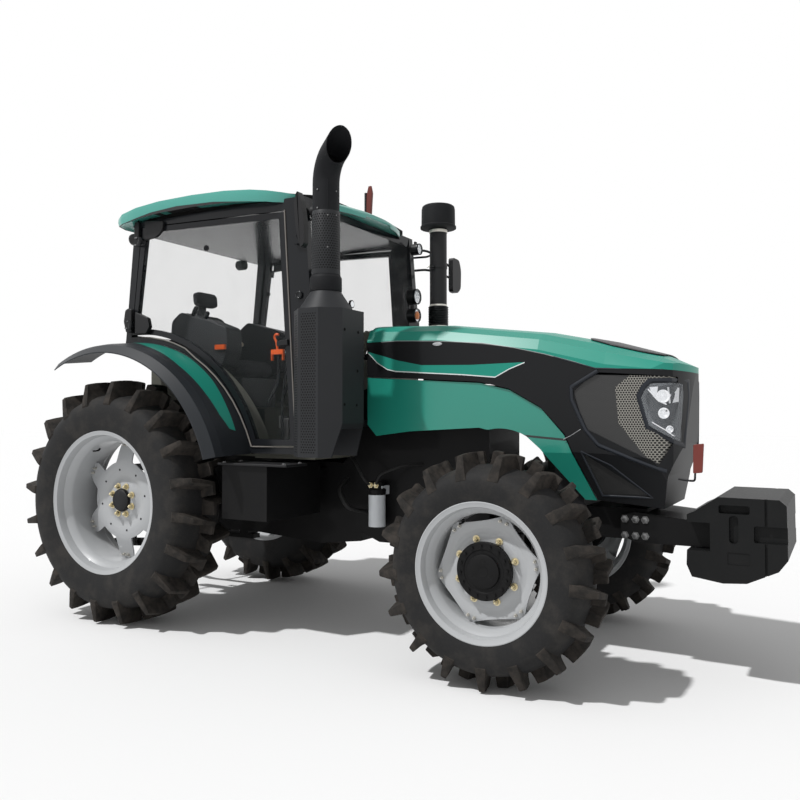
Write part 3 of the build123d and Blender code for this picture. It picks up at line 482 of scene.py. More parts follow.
# ---- wheels: each is built for the right side, outwards being -Y, and mirrored to the left ----
wheels = {
    "rear": dict(
        x=0.0, y=0.893, radius=0.875, lugs=20, firstLug=-7.8, segments=160,
        # half section of the carcass: distance from the middle plane, radius
        carcass=[(0.203, 0.484), (0.211, 0.498), (0.22, 0.53), (0.23, 0.58), (0.233, 0.625), (0.2315, 0.662),
                 (0.225, 0.692), (0.212, 0.718), (0.19, 0.74), (0.155, 0.757), (0.105, 0.769), (0.05, 0.775),
                 (0.0, 0.776)],
        # a lug's bar from the middle to its foot: top (a, r), base (a, r), half widths of top and base
        bar=[((-0.014, 0.8735), (-0.016, 0.765), 0.0165, 0.04), ((0.05, 0.875), (0.05, 0.765), 0.0165, 0.041),
             ((0.125, 0.871), (0.12, 0.757), 0.017, 0.042), ((0.188, 0.862), (0.168, 0.742), 0.0175, 0.042),
             ((0.1915, 0.858), (0.172, 0.74), 0.018, 0.042), ((0.2085, 0.795), (0.196, 0.722), 0.0225, 0.042),
             ((0.2235, 0.737), (0.214, 0.702), 0.027, 0.04), ((0.2295, 0.706), (0.222, 0.69), 0.028, 0.036)],
        slope=0.222, hook=dict(a=0.002, half=0.0145, baseHalf=0.028, reach=5.1, top=0.8745, base=0.765)),
    "front": dict(
        x=2.9, y=0.907, radius=0.648, lugs=17, firstLug=-7.9, segments=144,
        carcass=[(0.164, 0.357), (0.172, 0.37), (0.181, 0.4), (0.188, 0.44), (0.189, 0.47), (0.186, 0.496),
                 (0.177, 0.518), (0.16, 0.537), (0.13, 0.553), (0.09, 0.566), (0.045, 0.575), (0.0, 0.577)],
        bar=[((-0.014, 0.6465), (-0.016, 0.568), 0.016, 0.036), ((0.04, 0.648), (0.04, 0.568), 0.0165, 0.037),
             ((0.098, 0.645), (0.094, 0.558), 0.017, 0.038), ((0.148, 0.637), (0.132, 0.545), 0.0175, 0.038),
             ((0.1515, 0.633), (0.136, 0.542), 0.018, 0.038), ((0.168, 0.58), (0.156, 0.528), 0.023, 0.04),
             ((0.182, 0.528), (0.174, 0.505), 0.029, 0.04), ((0.1865, 0.503), (0.18, 0.49), 0.0305, 0.038)],
        slope=0.35, hook=dict(a=0.002, half=0.0145, baseHalf=0.024, reach=4.5, top=0.6475, base=0.568)),
}


def tyreShapes(kind):
    spec = wheels[kind]
    # the carcass is turned; each lug is a bar and a hook, in two rows half a pitch apart
    center = wheelCenter(kind)
    outer = [(-a, r) for a, r in spec["carcass"]] + [(a, r) for a, r in reversed(spec["carcass"][:-1])]
    beadA, beadR = spec["carcass"][0]
    inner = [(beadA - 0.03, beadR), (beadA - 0.034, beadR + 0.06), (0.034 - beadA, beadR + 0.06),
             (0.03 - beadA, beadR)]
    carcass = latheShape(outer + inner, center, 1, spec["segments"], closed=True)
    lugs = []
    for k in range(2 * spec["lugs"]):
        side = -1 if k % 2 == 0 else 1
        turn = math.radians(spec["firstLug"] + k * 180 / spec["lugs"])
        lugs += [barShape(spec, center, side, turn), hookShape(spec, center, side, turn)]
    return [carcass], lugs


# a lug's section: share of the way up, and how much of the base's extra width is left there
lugSides = [(-0.15, 1.1), (0.08, 0.8), (0.25, 0.46), (0.55, 0.19), (0.94, 0.02), (1.0, -0.18)]


def wheelCenter(kind):
    wheel = wheels[kind]
    return wheel["x"], -wheel["y"], wheel["radius"]


def wheelPoints(center, side, a, r, turn):
    # a place on the wheel: a outwards from the middle plane, radius and angle
    return np.stack([center[0] + r * np.cos(turn), center[1] + side * a, center[2] + r * np.sin(turn)], -1)


def lugSection(halfTop, halfBase):
    # up one flank and down the other: share of the way up, and the offset sideways
    half = [(lift, halfTop + left * (halfBase - halfTop)) for lift, left in lugSides]
    return np.array([(lift, -offset) for lift, offset in half] + half[::-1]).T


def barShape(spec, center, side, turn):
    # a straight bar: its angle grows with the distance from the middle, and its sides flare out to the carcass
    rows = []
    for top, base, halfTop, halfBase in spec["bar"]:
        lift, w = lugSection(halfTop, halfBase)
        a = base[0] + lift * (top[0] - base[0])
        r = base[1] + lift * (top[1] - base[1])
        rows.append(wheelPoints(center, side, a, r, turn + spec["slope"] * top[0] + w / r))
    return solidShape(rows)


def hookShape(spec, center, side, turn):
    # the bar's inner end runs on along the middle plane, its own end sloping out to the carcass
    hook = spec["hook"]
    rows = []
    for share in (0.0, 0.5, 1.0):
        lift, w = lugSection(hook["half"], hook["baseHalf"])
        flare = np.interp(lift, [s for s, left in lugSides], [left for s, left in lugSides]) * 0.018
        r = hook["base"] + lift * (hook["top"] - hook["base"])
        angle = turn - share * (math.radians(hook["reach"]) + flare / hook["top"])
        rows.append(wheelPoints(center, side, hook["a"] + w, r, angle))
    return solidShape(rows)


rims = {
    "rear": dict(
        # half of the barrel's outside and inside: distance from the middle plane, radius
        outside=[(0.215, 0.506), (0.2135, 0.511), (0.209, 0.512), (0.204, 0.505), (0.201, 0.49), (0.15, 0.482),
                 (0.138, 0.47), (0.112, 0.448)],
        inside=[(0.211, 0.497), (0.207, 0.48), (0.19, 0.474), (0.155, 0.469), (0.144, 0.458), (0.118, 0.436),
                (0.098, 0.431)],
        # the disc's dish: radius, distance outwards from the wheel's middle plane
        dish=[(0.07, 0.022), (0.088, 0.022), (0.124, 0.019), (0.15, 0.006), (0.172, 0.002), (0.18, 0.004),
              (0.215, 0.012), (0.25, 0.013), (0.29, 0.008), (0.35, -0.01), (0.4, -0.026), (0.434, -0.034)],
        tip=0.434, waist=0.283, firstLobe=30, lobeHalf=5.5, waistFrom=17.0, blend=1.3, thick=0.01, straight=False,
        brackets=dict(reach=0.431, outward=-0.03)),
    "front": dict(
        outside=[(0.178, 0.379), (0.1765, 0.384), (0.172, 0.385), (0.168, 0.378), (0.165, 0.363), (0.122, 0.356),
                 (0.11, 0.345), (0.086, 0.326)],
        inside=[(0.174, 0.371), (0.17, 0.354), (0.158, 0.348), (0.128, 0.344), (0.117, 0.334), (0.092, 0.315),
                (0.076, 0.311)],
        dish=[(0.12, 0.066), (0.16, 0.066), (0.19, 0.064), (0.206, 0.056), (0.226, 0.052), (0.25, 0.056),
              (0.275, 0.058), (0.296, 0.052), (0.318, 0.044)],
        tip=0.318, waist=0.268, firstLobe=10, lobeHalf=6.0, waistFrom=29.0, blend=0.9, thick=0.01, straight=True,
        brackets=dict(reach=0.311, outward=0.045)),
}


def discShape(kind):
    # a polar grid: each spoke of points runs from the hub hole to the lobed edge R(angle)
    spec, wheel = rims[kind], wheels[kind]
    radii, outward = np.array(spec["dish"]).T
    turns = np.radians(np.arange(0, 360, 1.5))
    lobe = np.abs((np.degrees(turns) - spec["firstLobe"] + 30) % 60 - 30)
    fall = np.clip((lobe - spec["lobeHalf"]) / (spec["waistFrom"] - spec["lobeHalf"]), 0, 1)
    fall = (fall * fall * (3 - 2 * fall)) ** spec["blend"]
    edge = spec["tip"] + (spec["waist"] - spec["tip"]) * fall
    if spec["straight"]:
        off = np.radians(30 - lobe)
        edge = np.minimum(spec["tip"], spec["waist"] / np.cos(off) * (1 + 0.35 * off**3))
    steps = np.linspace(0, 1, 26)
    sheets = []
    for inset in (0.0, spec["thick"]):
        r = radii[0] + steps[:, None] * (edge - radii[0])
        y = -(wheel["y"] + np.interp(r, radii, outward) - inset)
        sheets.append(np.stack([wheel["x"] + r * np.cos(turns), y, wheel["radius"] + r * np.sin(turns)], -1))
    return gridShape(np.concatenate([sheets[0], sheets[1][::-1]]), wrapRows=True, wrapCols=True)


def around(kind, radius, count, first=0.0):
    # places on a circle about the wheel's axle, as (x, z, angle)
    wheel = wheels[kind]
    for k in range(count):
        turn = math.radians(first + k * 360 / count)
        yield wheel["x"] + radius * math.cos(turn), wheel["radius"] + radius * math.sin(turn), turn


def nutShape(x, y, z, size, reach):
    # wheel stud with its nut and washer, pointing outwards
    washer = latheShape([(0, size * 1.7), (-0.004, size * 1.7), (-0.0045, size * 1.1)], (x, y, z), 1, 20)
    nut = latheShape([(-0.004, size * 1.12), (-0.02, size * 1.12), (-0.024, size * 0.95)], (x, y, z), 1, 6)
    stud = latheShape([(-0.02, size * 0.62), (-reach, size * 0.62), (-reach - 0.003, size * 0.45)], (x, y, z), 1, 12)
    return [washer, nut, stud]


def rimShapes(kind):
    spec, wheel = rims[kind], wheels[kind]
    outside, inside = spec["outside"], spec["inside"]
    profile = [(-a, r) for a, r in outside] + outside[::-1] + inside + [(-a, r) for a, r in inside[::-1]]
    barrel = latheShape(profile, wheelCenter(kind), 1, 128, closed=True)
    plates, bolts = [], []
    bracket = spec["brackets"]
    for x, z, turn in around(kind, bracket["reach"] - 0.03, 6, spec["firstLobe"]):
        # an angle plate welded to the barrel at each lobe, with two bolts through the lobe
        y = -(wheel["y"] + bracket["outward"])
        plate = boxShape((x - 0.034, y + 0.012, z - 0.038), (x + 0.03, y + 0.03, z + 0.038))
        plates.append(moved(plate, turn=turn, axis=1, pivot=(x, y, z)))
        for offset in (-0.02, 0.02):
            bx = x - offset * math.sin(turn)
            bz = z + offset * math.cos(turn)
            bolts.extend(nutShape(bx, y + 0.002, bz, 0.0095, 0.034))
    return [barrel, discShape(kind)] + plates, bolts


def smallLathes(kind, profile, segments, radius, count, first):
    # the same turned shape at each place on a circle about the axle
    y = -wheels[kind]["y"]
    return [latheShape(profile, (x, y, z), 1, segments) for x, z, turn in around(kind, radius, count, first)]


def hubNuts(kind, radius, first, outward, size, reach):
    return [shape for x, z, turn in around(kind, radius, 8, first)
            for shape in nutShape(x, -wheels[kind]["y"] - outward, z, size, reach)]


def rearHub():
    cap = latheShape([(0.125, 0.085), (-0.028, 0.085), (-0.03, 0.078), (-0.042, 0.078), (-0.05, 0.066),
                      (-0.053, 0.03), (-0.053, 0.0005)], wheelCenter("rear"), 1, 48)
    holes = smallLathes("rear", [(-0.0105, 0.0075), (-0.0142, 0.0075)], 16, 0.222, 8, 10)
    return [cap] + holes, hubNuts("rear", 0.106, 22.5, 0.0195, 0.015, 0.032)


def frontHub():
    center = wheelCenter("front")
    drum = latheShape([(0.083, 0.155), (-0.092, 0.155), (-0.094, 0.16), (-0.108, 0.16), (-0.112, 0.156),
                       (-0.112, 0.118), (-0.108, 0.114), (-0.108, 0.096), (-0.12, 0.092), (-0.1225, 0.088),
                       (-0.1225, 0.04), (-0.1225, 0.0005)], center, 1, 72)
    boss = latheShape([(-0.12, 0.03), (-0.1235, 0.03), (-0.1235, 0.0225), (-0.1215, 0.019), (-0.1215, 0.0005)],
                      center, 1, 36)
    plugs = smallLathes("front", [(-0.12, 0.014), (-0.1232, 0.014), (-0.1232, 0.01), (-0.1215, 0.008),
                                  (-0.1215, 0.0005)], 20, 0.056, 3, 90)
    screws = smallLathes("front", [(-0.111, 0.0135), (-0.1125, 0.0135), (-0.1127, 0.0088), (-0.1225, 0.0088),
                                   (-0.1229, 0.006)], 12, 0.138, 16, 6)
    return [drum, boss] + plugs + screws, hubNuts("front", 0.176, 20, 0.0655, 0.0125, 0.034)


def valveShape(kind, turnDegrees, inset):
    # tyre valve: a bent stem from the barrel with a cap
    wheel = wheels[kind]
    turn = math.radians(turnDegrees)
    path = [(inset, -0.06), (inset - 0.012, -0.075), (inset - 0.016, -0.105), (inset - 0.016, -0.125)]
    points = [(wheel["x"] + r * math.cos(turn), -wheel["y"] + a, wheel["radius"] + r * math.sin(turn))
              for r, a in path]
    return tubeShape(points, [0.008, 0.007, 0.005, 0.0065], 12)


def makeWheels():
    for kind, hubShapes, hubFinish, valveInset in (("rear", rearHub, "plastic", 0.42),
                                                   ("front", frontHub, "black", 0.3)):
        carcass, lugs = tyreShapes(kind)
        metal, bolts = rimShapes(kind)
        hub, nuts = hubShapes()
        valve = [valveShape(kind, 118, valveInset)]
        for side in ("right", "left"):
            own = f"{kind}_{side}"
            tyre, rim = [f"tyre_{own}"], [f"rim_{own}"]
            for name, shapes, material, slot, stands, smooth in (
                    ("carcass", carcass, "rubber", "tyre", tyre, 50),
                    ("lugs", lugs, "lug", "tyre", tyre, 32),
                    ("wheel_disc", metal, "rim", "rim_paint", rim, 30),
                    ("rim_bolts", bolts, "zinc", "rim_paint", (), 30),
                    ("hub", hub, hubFinish, "black_paint", rim, 35),
                    ("wheel_nuts", nuts, "brass", "rim_paint", (), 30),
                    ("valve", valve, "black", "black_paint", (), 35)):
                piece(f"{name}_{own}", onSide(shapes, side), material, f"wheel_{own}", stands, smooth)


makeWheels()
print("wheels made")


# ---- painted bands and mesh patterns ----
teal = (0.018, 0.255, 0.19)


def drawn(place):
    # the drawing's own lengths, x from the rear axle
    x, y, z = axes(place)
    return x - axleRear, y, z


def curve(x, table):
    # the height read off straight runs between (place, height) pairs
    (low, high), heights = (table[0][0], table[-1][0]), [h for p, h in table]
    bottom, top = min(heights), max(heights)
    ramp = x.node("ShaderNodeValToRGB", n0=x.limit(low, high))
    stops = ramp.color_ramp.elements
    while len(stops) < len(table):
        stops.new(0.5)
    for stop, (p, h) in zip(stops, table):
        stop.position = (p - low) / (high - low)
        stop.color = ((h - bottom) / (top - bottom),) * 3 + (1,)
    return Wire(x.tree, ramp.outputs[0]) * (top - bottom) + bottom


def between(value, low, high):
    return (value > low) * (value < high)


def dots(u, v, pitch, radius):
    # staggered round holes: the nearer of two square grids, each set half a step off the other
    def cell(shift):
        a = (u / pitch + shift).math("FRACT") - 0.5
        b = ((v / (pitch * 1.732) + shift).math("FRACT") - 0.5) * 1.732
        return a * a + b * b
    near = cell(0.0).math("MINIMUM", cell(0.5))
    reach = (radius / pitch) ** 2
    return 1 - near.limit(reach * 0.7, reach * 1.3)


hoodPlan = dict(
    # lower edge of the top's colour, then the swoosh's lower and upper edges
    bandTop=[(1.79, 1.985), (2.03, 1.988), (2.31, 1.975), (2.64, 1.947), (2.85, 1.909), (3.04, 1.864), (3.23, 1.809),
             (3.35, 1.768), (3.72, 1.753), (3.87, 1.742)],
    swooshLow=[(1.8, 1.915), (1.87, 1.847), (1.948, 1.801), (2.011, 1.786), (2.209, 1.772), (2.501, 1.752),
               (2.724, 1.731), (2.818, 1.779), (2.917, 1.8155)],
    swooshTop=[(1.8, 1.922), (1.9, 1.894), (2.03, 1.856), (2.209, 1.82), (2.56, 1.811), (2.917, 1.8165)],
    white=(0.72, 0.76, 0.76))


def hoodMaterial():
    # top in colour over a black side band, with the swoosh and its white edge low on the band
    material, shader, place = startMaterial("hood paint")
    x, y, z = drawn(place)
    low, top = curve(x, hoodPlan["swooshLow"]), curve(x, hoodPlan["swooshTop"])
    band = curve(x, hoodPlan["bandTop"])
    side = z < band
    run = between(x, 1.8, 2.917)
    swoosh = (z > low) * (z < top) * run
    edge = (z > low - 0.0045) * (z < low + 0.002) * run
    pin = between(z - band, -0.004, 0.001) * between(x, 1.9, 3.3)
    slow = noise(place, 1.7, 3.0)
    color = side.blend(slow.blend(scaled(teal, 0.92), scaled(teal, 1.08)), (0.0065, 0.007, 0.008))
    color = swoosh.blend(color, teal)
    color = (pin * 0.35).blend(color, hoodPlan["white"])
    color = edge.blend(color, hoodPlan["white"])
    setShader(place, shader, Base_Color=color, Roughness=side * 0.06 + 0.4 + slow * 0.04,
              Coat_Weight=0.12 - side * 0.11, Coat_Roughness=0.25, Specular_IOR_Level=0.2,
              Normal=orangePeel(place))
    return material


def panelMaterial():
    # body colour with painted shade in the gap above the part over the wheel, and painted shade along a faint upright
    # crease below it
    material, shader, place = startMaterial("side panel paint")
    x, y, z = drawn(place)
    # painted shade: a dark line where the gap lies, and a darker upright line down the crease
    gap = curve(x, [(2.6, 1.402), (2.742, 1.399), (2.902, 1.372), (3.032, 1.361), (3.16, 1.351)])
    gapShade = between(z - gap, -0.009, 0.004) * between(x, 2.6, 3.3)
    creaseShade = between(x, 2.903, 2.909) * (z < 1.365)
    slow = noise(place, 1.7, 3.0)
    color = slow.blend(scaled(teal, 0.92), scaled(teal, 1.08))
    color = (creaseShade * 0.6).blend(color, (0.01, 0.12, 0.09))
    setShader(place, shader, Base_Color=gapShade.blend(color, (0.004, 0.012, 0.01)), Roughness=slow * 0.05 + 0.24,
              Coat_Weight=0.35, Coat_Roughness=0.08, Normal=orangePeel(place))
    return material


def fenderMaterial():
    # blue-grey plastic with a painted band along the inside, narrowing to a point at both ends
    material, shader, place = startMaterial("fender plastic")
    x, y, z = drawn(place)
    side = y.math("ABSOLUTE")
    angle = (z - 0.9).math("ARCTAN2", x + 0.02) * (180 / math.pi)
    outer = curve(angle, [(25.0, 0.8), (26.5, 0.88), (32.0, 0.914), (42.0, 0.932), (57.0, 0.95), (76.0, 0.925),
                          (88.0, 0.845), (94.0, 0.79)])
    inner = curve(angle, [(25.0, 0.835), (36.0, 0.815), (48.0, 0.785), (62.0, 0.772), (80.0, 0.79), (90.0, 0.84)])
    band = (side < outer) * (side > inner) * between(angle, 25.0, 90.0)
    grey = noise(place, 3.0, 4.0).blend((0.014, 0.016, 0.019), (0.02, 0.023, 0.027))
    setShader(place, shader, Base_Color=band.blend(grey, (0.016, 0.235, 0.175)), Roughness=0.46 - band * 0.16,
              Specular_IOR_Level=0.25, Normal=bump(place, noise(place, 420.0, 2.0), 0.12, 0.001))
    return material


def roofMaterial():
    # pale body colour above the eave line, black lining below it and underneath
    material, shader, place = startMaterial("roof plastic and lining")
    x, y, z = drawn(place)
    eave = curve(x, [(-0.26, 2.928), (-0.1, 2.932), (0.2, 2.975), (0.454, 2.988), (0.8, 2.975), (1.242, 2.925),
                     (1.5, 2.915), (1.66, 2.902)])
    lining = z < eave
    slow = noise(place, 2.0, 3.0)
    color = lining.blend(slow.blend((0.055, 0.31, 0.26), (0.065, 0.35, 0.29)), (0.006, 0.006, 0.007))
    setShader(place, shader, Base_Color=color, Roughness=lining * 0.3 + 0.34 + slow * 0.05, Coat_Weight=0.3)
    return material


def perforatedMaterial(name, kind):
    # heatproof charcoal with rows of small round holes: on the guard's flat sides, or round the pipe
    material, shader, place = startMaterial(name)
    x, y, z = drawn(place)
    if kind == "guard":
        # length along the plan's outline, which x alone gives on the outboard sides
        s = curve(x, [(1.579, 0.0), (1.687, 0.149), (1.835, 0.297), (1.945, 0.448)])
        area = between(s, 0.03, 0.122) + between(s, 0.168, 0.28)
        area = area * between(z, 1.262, 2.118) * (y < -0.955) * (x > 1.581)
        holes = dots(s, z, 0.0185, 0.0052) * area
    else:
        turn = (y + 0.88).math("ARCTAN2", x - 1.771) * 0.092
        holes = dots(turn, z, 0.0175, 0.0048) * between(z, 2.4, 2.755)
    fine = noise(place, 320.0, 2.0)
    color = noise(place, 4.0, 4.0).blend((0.018, 0.019, 0.021), (0.023, 0.024, 0.026))
    setShader(place, shader, Base_Color=holes.blend(color, (0.002, 0.002, 0.002)), Roughness=holes * 0.4 + 0.5,
              Specular_IOR_Level=0.2, Normal=bump(place, fine * 0.08 - holes, 0.6, 0.003))
    return material


def noseMeshMaterial():
    # fine black mesh, with a paler honeycomb sheet round the lamp
    material, shader, place = startMaterial("nose mesh")
    x, y, z = drawn(place)
    side = y.math("ABSOLUTE")
    left = curve(z, [(1.18, 3.77), (1.26, 3.63), (1.355, 3.553), (1.45, 3.479), (1.655, 3.461), (1.735, 3.56)])
    sheet = (x > left) * (z > 1.2)
    holes = dots(x + side * 0.5, z, 0.015, 0.0058)
    fineHoles = dots(x, z, 0.0075, 0.0024)
    pale = holes.blend((0.3, 0.29, 0.26), (0.006, 0.006, 0.006))
    dark = fineHoles.blend((0.03, 0.03, 0.03), (0.004, 0.004, 0.004))
    # left open where the lamp sits: inside four straight edges
    lamp = (x - 3.594 + (z - 1.6) * 0.275 > 0.0) * (z > 1.422 - (x - 3.643) * 0.639)
    lamp = lamp * (z < (x - 3.594) * 1.453 + 1.6) * (z < 1.693)
    setShader(place, shader, Base_Color=sheet.blend(dark, pale), Roughness=0.45, Metallic=sheet * 0.5, Alpha=1 - lamp)
    return material


def noseInsetMaterial():
    # dark grille on the crown: fine slots across it
    material, shader, place = startMaterial("hood inset")
    x, y, z = drawn(place)
    holes = dots(y, x, 0.008, 0.0026)
    setShader(place, shader, Base_Color=holes.blend((0.036, 0.036, 0.037), (0.006, 0.006, 0.006)), Roughness=0.5)
    return material


finish.update(hood=hoodMaterial(), panel=panelMaterial(), fenderBand=fenderMaterial(), roof=roofMaterial(),
              guard=perforatedMaterial("guard sheet", "guard"), sleeve=perforatedMaterial("sleeve sheet", "sleeve"),
              noseMesh=noseMeshMaterial(), hoodMesh=noseInsetMaterial())


# ---- bodywork ----
# columns: place along, half width, height where the shoulder starts, height of the crown
hoodSections = np.array([(1.79, 0.415, 1.995, 2.128), (2.32, 0.42, 1.98, 2.105), (3.0, 0.425, 1.89, 2.022),
                         (3.4, 0.42, 1.79, 1.936), (3.7, 0.412, 1.752, 1.848), (3.87, 0.405, 1.735, 1.768)])
nosePlan = np.array([(1.79, 0.415), (3.0, 0.425), (3.4, 0.42), (3.68, 0.405), (3.73, 0.378), (3.77, 0.345),
                     (3.8, 0.27), (3.82, 0.19), (3.838, 0.08), (3.845, 0.0)])


# the crown's arc starts this far in from the side, over this share of its height; the side leans in below a height
hoodForm = dict(shoulder=0.115, arcShare=0.22, sideHalf=0.43, leanBelow=1.3, lean=3)


def hoodTop(x, y):
    # the crown: a circle's arc through both shoulder lines and the crown's height
    half, low, crown = (np.interp(x, hoodSections[:, 0], hoodSections[:, k]) for k in (1, 2, 3))
    chord, rise = half - hoodForm["shoulder"], (crown - low) * hoodForm["arcShare"]
    radius = (chord**2 + rise**2) / (2 * rise)
    return crown - radius + np.sqrt(radius**2 - y**2)


def hoodSide(x, z):
    # half width of the hood at a place
    leaning = hoodForm["sideHalf"] - np.maximum(0, hoodForm["leanBelow"] - z) / hoodForm["lean"]
    return np.minimum(np.interp(x, nosePlan[:, 0], nosePlan[:, 1]), leaning)


def onHood(path, steps=6, out=0.0):
    # a path of (along, height) laid on the hood's right side
    path = np.array(path, float)
    t = np.linspace(0, len(path) - 1, (len(path) - 1) * steps + 1)
    x, z = (np.interp(t, np.arange(len(path)), path[:, k]) for k in (0, 1))
    return np.column_stack([x, -hoodSide(x, z) - out, z])


def makeHoodTrim():
    # black inset on the crown, its half width changing along it
    t = np.linspace(0, 1, 25)[:, None]
    x = 3.252 + 0.448 * t
    half = np.interp(x, (3.252, 3.275, 3.41, 3.6, 3.67, 3.7), (0.165, 0.222, 0.296, 0.288, 0.262, 0.225))
    y = half * np.linspace(-1, 1, 21)[None, :]
    inset = gridShape(np.stack([x + 0 * y, y, hoodTop(x, y) + 0.004], -1))
    piece("hood_inset", [inset], "hoodMesh", "hood", wall=0.006, smooth=50)
    # rounded rims along the windows' lower edges, and a thin one under the top
    rounded = [tubeShape(onHood([(3.362, 1.752), (3.206, 1.66), (3.209, 1.585), (3.287, 1.41), (3.365, 1.32),
                              (3.56, 1.243), (3.735, 1.178)], out=-0.004), 0.0125, 10),
            tubeShape(onHood([(3.262, 1.282), (3.366, 1.022), (3.655, 1.022), (3.43, 1.205), (3.262, 1.282)],
                             out=-0.004), 0.007, 8),
            tubeShape(onHood([(3.1, 1.842), (3.35, 1.766), (3.72, 1.75)], out=-0.002), 0.005, 8)]
    piece("window_rims", bothSides(rounded), "rimBlack", "hood", smooth=60)
    # seam where the nose meets the hood's side
    seam = tubeShape(onHood([(3.158, 1.351), (3.205, 1.375), (3.262, 1.412)], out=-0.001), 0.002, 6)
    piece("nose_seam", bothSides([seam]), "rim", "hood", smooth=60)
    latch = latheShape([(-0.42, 0.0), (-0.4235, 0.03), (-0.4255, 0.027), (-0.4262, 0.0005)], (0, 0, 0), 1, 28)
    latch = (latch[0] * (1.15, 1, 0.4) + (2.325, 0, 1.953), latch[1])
    piece("hood_latches", bothSides([latch]), "rim", "hood", smooth=50)


lampPlan = dict(
    # corners of the lamp's frame on the nose, from the rear top round the front: along, left, height
    outer=[(3.622, -0.408, 1.656), (3.658, -0.406, 1.693), (3.76, -0.352, 1.696), (3.821, -0.181, 1.693),
           (3.823, -0.169, 1.603), (3.809, -0.234, 1.316), (3.765, -0.345, 1.345), (3.643, -0.407, 1.422),
           (3.594, -0.41, 1.6)],
    middle=(3.72, -0.345, 1.53), noseMiddle=(3.2, 0, 1.5),
    # the frame's section: how far out of the nose, and the share of the way to the middle
    section=((-0.012, -0.06), (0.004, -0.05), (0.009, 0.0), (0.008, 0.1), (0.001, 0.15), (-0.03, 0.17),
             (-0.03, 0.05)),
    eyes=((3.722, 1.6, 0.036), (3.725, 1.505, 0.03), (3.752, 1.415, 0.02)), eyeTurn=22,
    shades=([(3.655, 1.652), (3.672, 1.6), (3.69, 1.59), (3.7, 1.655)],
            [(3.744, 1.652), (3.752, 1.56), (3.792, 1.57), (3.795, 1.65)]))


def makeHeadlamps():
    # a frame round the corner, and a bowl and a clear cover laid on the nose inside it
    outer, middle = np.array(lampPlan["outer"]), np.array(lampPlan["middle"])
    corners = len(outer)
    closed = np.vstack([outer, outer[:1]])
    t = np.linspace(0, corners, 10 * corners + 1)
    ring = np.column_stack([np.interp(t, np.arange(corners + 1), closed[:, k]) for k in range(3)])[:-1]
    out = ring - lampPlan["noseMiddle"]
    out /= np.linalg.norm(out, axis=1, keepdims=True)
    inwards = middle - ring
    rows = [ring + out * (1, 1, 0) * a + inwards * b for a, b in lampPlan["section"]]
    loop = gridShape(np.array(rows), wrapRows=True, wrapCols=True)
    piece("lamp_frames", bothSides([loop]), "rimBlack", "hood", smooth=40)

    def patch(out, shares):
        # the frame's loop shrunk towards the middle and laid this far outside the nose
        rows = []
        for share in shares:
            points = ring + inwards * share
            points[:, 1] = -hoodSide(points[:, 0], points[:, 2]) - out
            rows.append(points)
        return bothSides([solidShape(rows)])
    piece("lamp_lenses", patch(0.019, (0.13, 0.4, 0.7, 0.97)), "lampGlass", "hood", smooth=60)
    piece("lamp_bowls", patch(0.003, (0.1, 0.3, 0.6, 0.97)), "lampDark", "hood", smooth=60)
    chrome, shades = [], []
    for x, z, r in lampPlan["eyes"]:
        eye = latheShape([(0.0, r), (-0.01, r * 1.04), (-0.011, r * 0.84), (-0.003, r * 0.45), (-0.008, 0.001)],
                         (0, 0, 0), 1, 28)
        chrome.append(moved(eye, (x, -hoodSide(x, z) - 0.004, z), math.radians(lampPlan["eyeTurn"]), 2))
    chrome.append(tubeShape(onHood([(3.648, 1.64), (3.7, 1.575), (3.74, 1.555)], out=0.01), 0.005, 8))
    chrome.append(tubeShape(onHood([(3.668, 1.455), (3.735, 1.41), (3.775, 1.375)], out=0.009), 0.004, 8))
    piece("lamp_reflectors", bothSides(chrome), "chrome", "hood", smooth=40)
    for points in lampPlan["shades"]:
        x, z = np.array(points).T
        shades.append(solidShape([np.column_stack([x, -hoodSide(x, z) - out, z]) for out in (0.006, 0.01)]))
    piece("lamp_shades", bothSides(shades), "white", "hood")


def makeMarker():
    # a marker plate on a bent rod in front of the nose's right corner
    rod = pipeShape([(3.795, -0.33, 1.135), (3.86, -0.345, 1.128), (3.885, -0.352, 1.13), (3.888, -0.352, 1.2)],
                    0.012, 0.006, 10)
    piece("marker_rod", [rod], "plastic", "hood", smooth=60)
    plate = plateShape([(3.876, 1.17), (3.926, 1.176), (3.934, 1.338), (3.878, 1.33)], 0.008, 1, -0.358, -0.346)
    piece("marker_plate", [plate], "redBrown", "hood", bevel=0.002)


# ---- exhaust: pipe with a slanted mouth, sleeve, collar ----
exhaustPlan = dict(
    x=1.771, y=-0.88, radius=0.085, wall=0.004, low=2.1, bendStart=2.95, bendRadius=0.18, bendAngle=68, heading=-31,
    # the mouth's lower and upper lip: distance ahead of the pipe's axis, height
    lips=((0.143, 3.02), (0.222, 3.245)),
    rivets=((-93, 2.897), (-93, 2.782), (-49, 2.735), (-49, 2.536), (-10, 2.89), (-10, 2.74), (170, 2.89)),
    seamAngle=-49, guardBolts=((-0.775, 2.015), (-0.782, 1.771), (-0.792, 1.557), (-0.93, 2.02), (-0.93, 1.56)))


def exhaustStrand(distance, angle, radius):
    # a point of the wall this far up the path: straight, then round the bend, then straight again
    plan = exhaustPlan
    start, bendRadius, bend = plan["bendStart"], plan["bendRadius"], math.radians(plan["bendAngle"])
    rise = np.clip(distance, plan["low"], start)
    arc = np.clip((distance - start) / bendRadius, 0, bend)
    rest = np.maximum(0, distance - start - bend * bendRadius)
    across, side = radius * np.cos(angle), radius * np.sin(angle)
    ahead = bendRadius * (1 - np.cos(arc)) + rest * np.sin(arc) + across * np.cos(arc)
    z = rise + bendRadius * np.sin(arc) + rest * np.cos(arc) - across * np.sin(arc)
    c, s = math.cos(math.radians(plan["heading"])), math.sin(math.radians(plan["heading"]))
    return np.stack([plan["x"] + ahead * c - side * s, plan["y"] + ahead * s + side * c, z], -1)


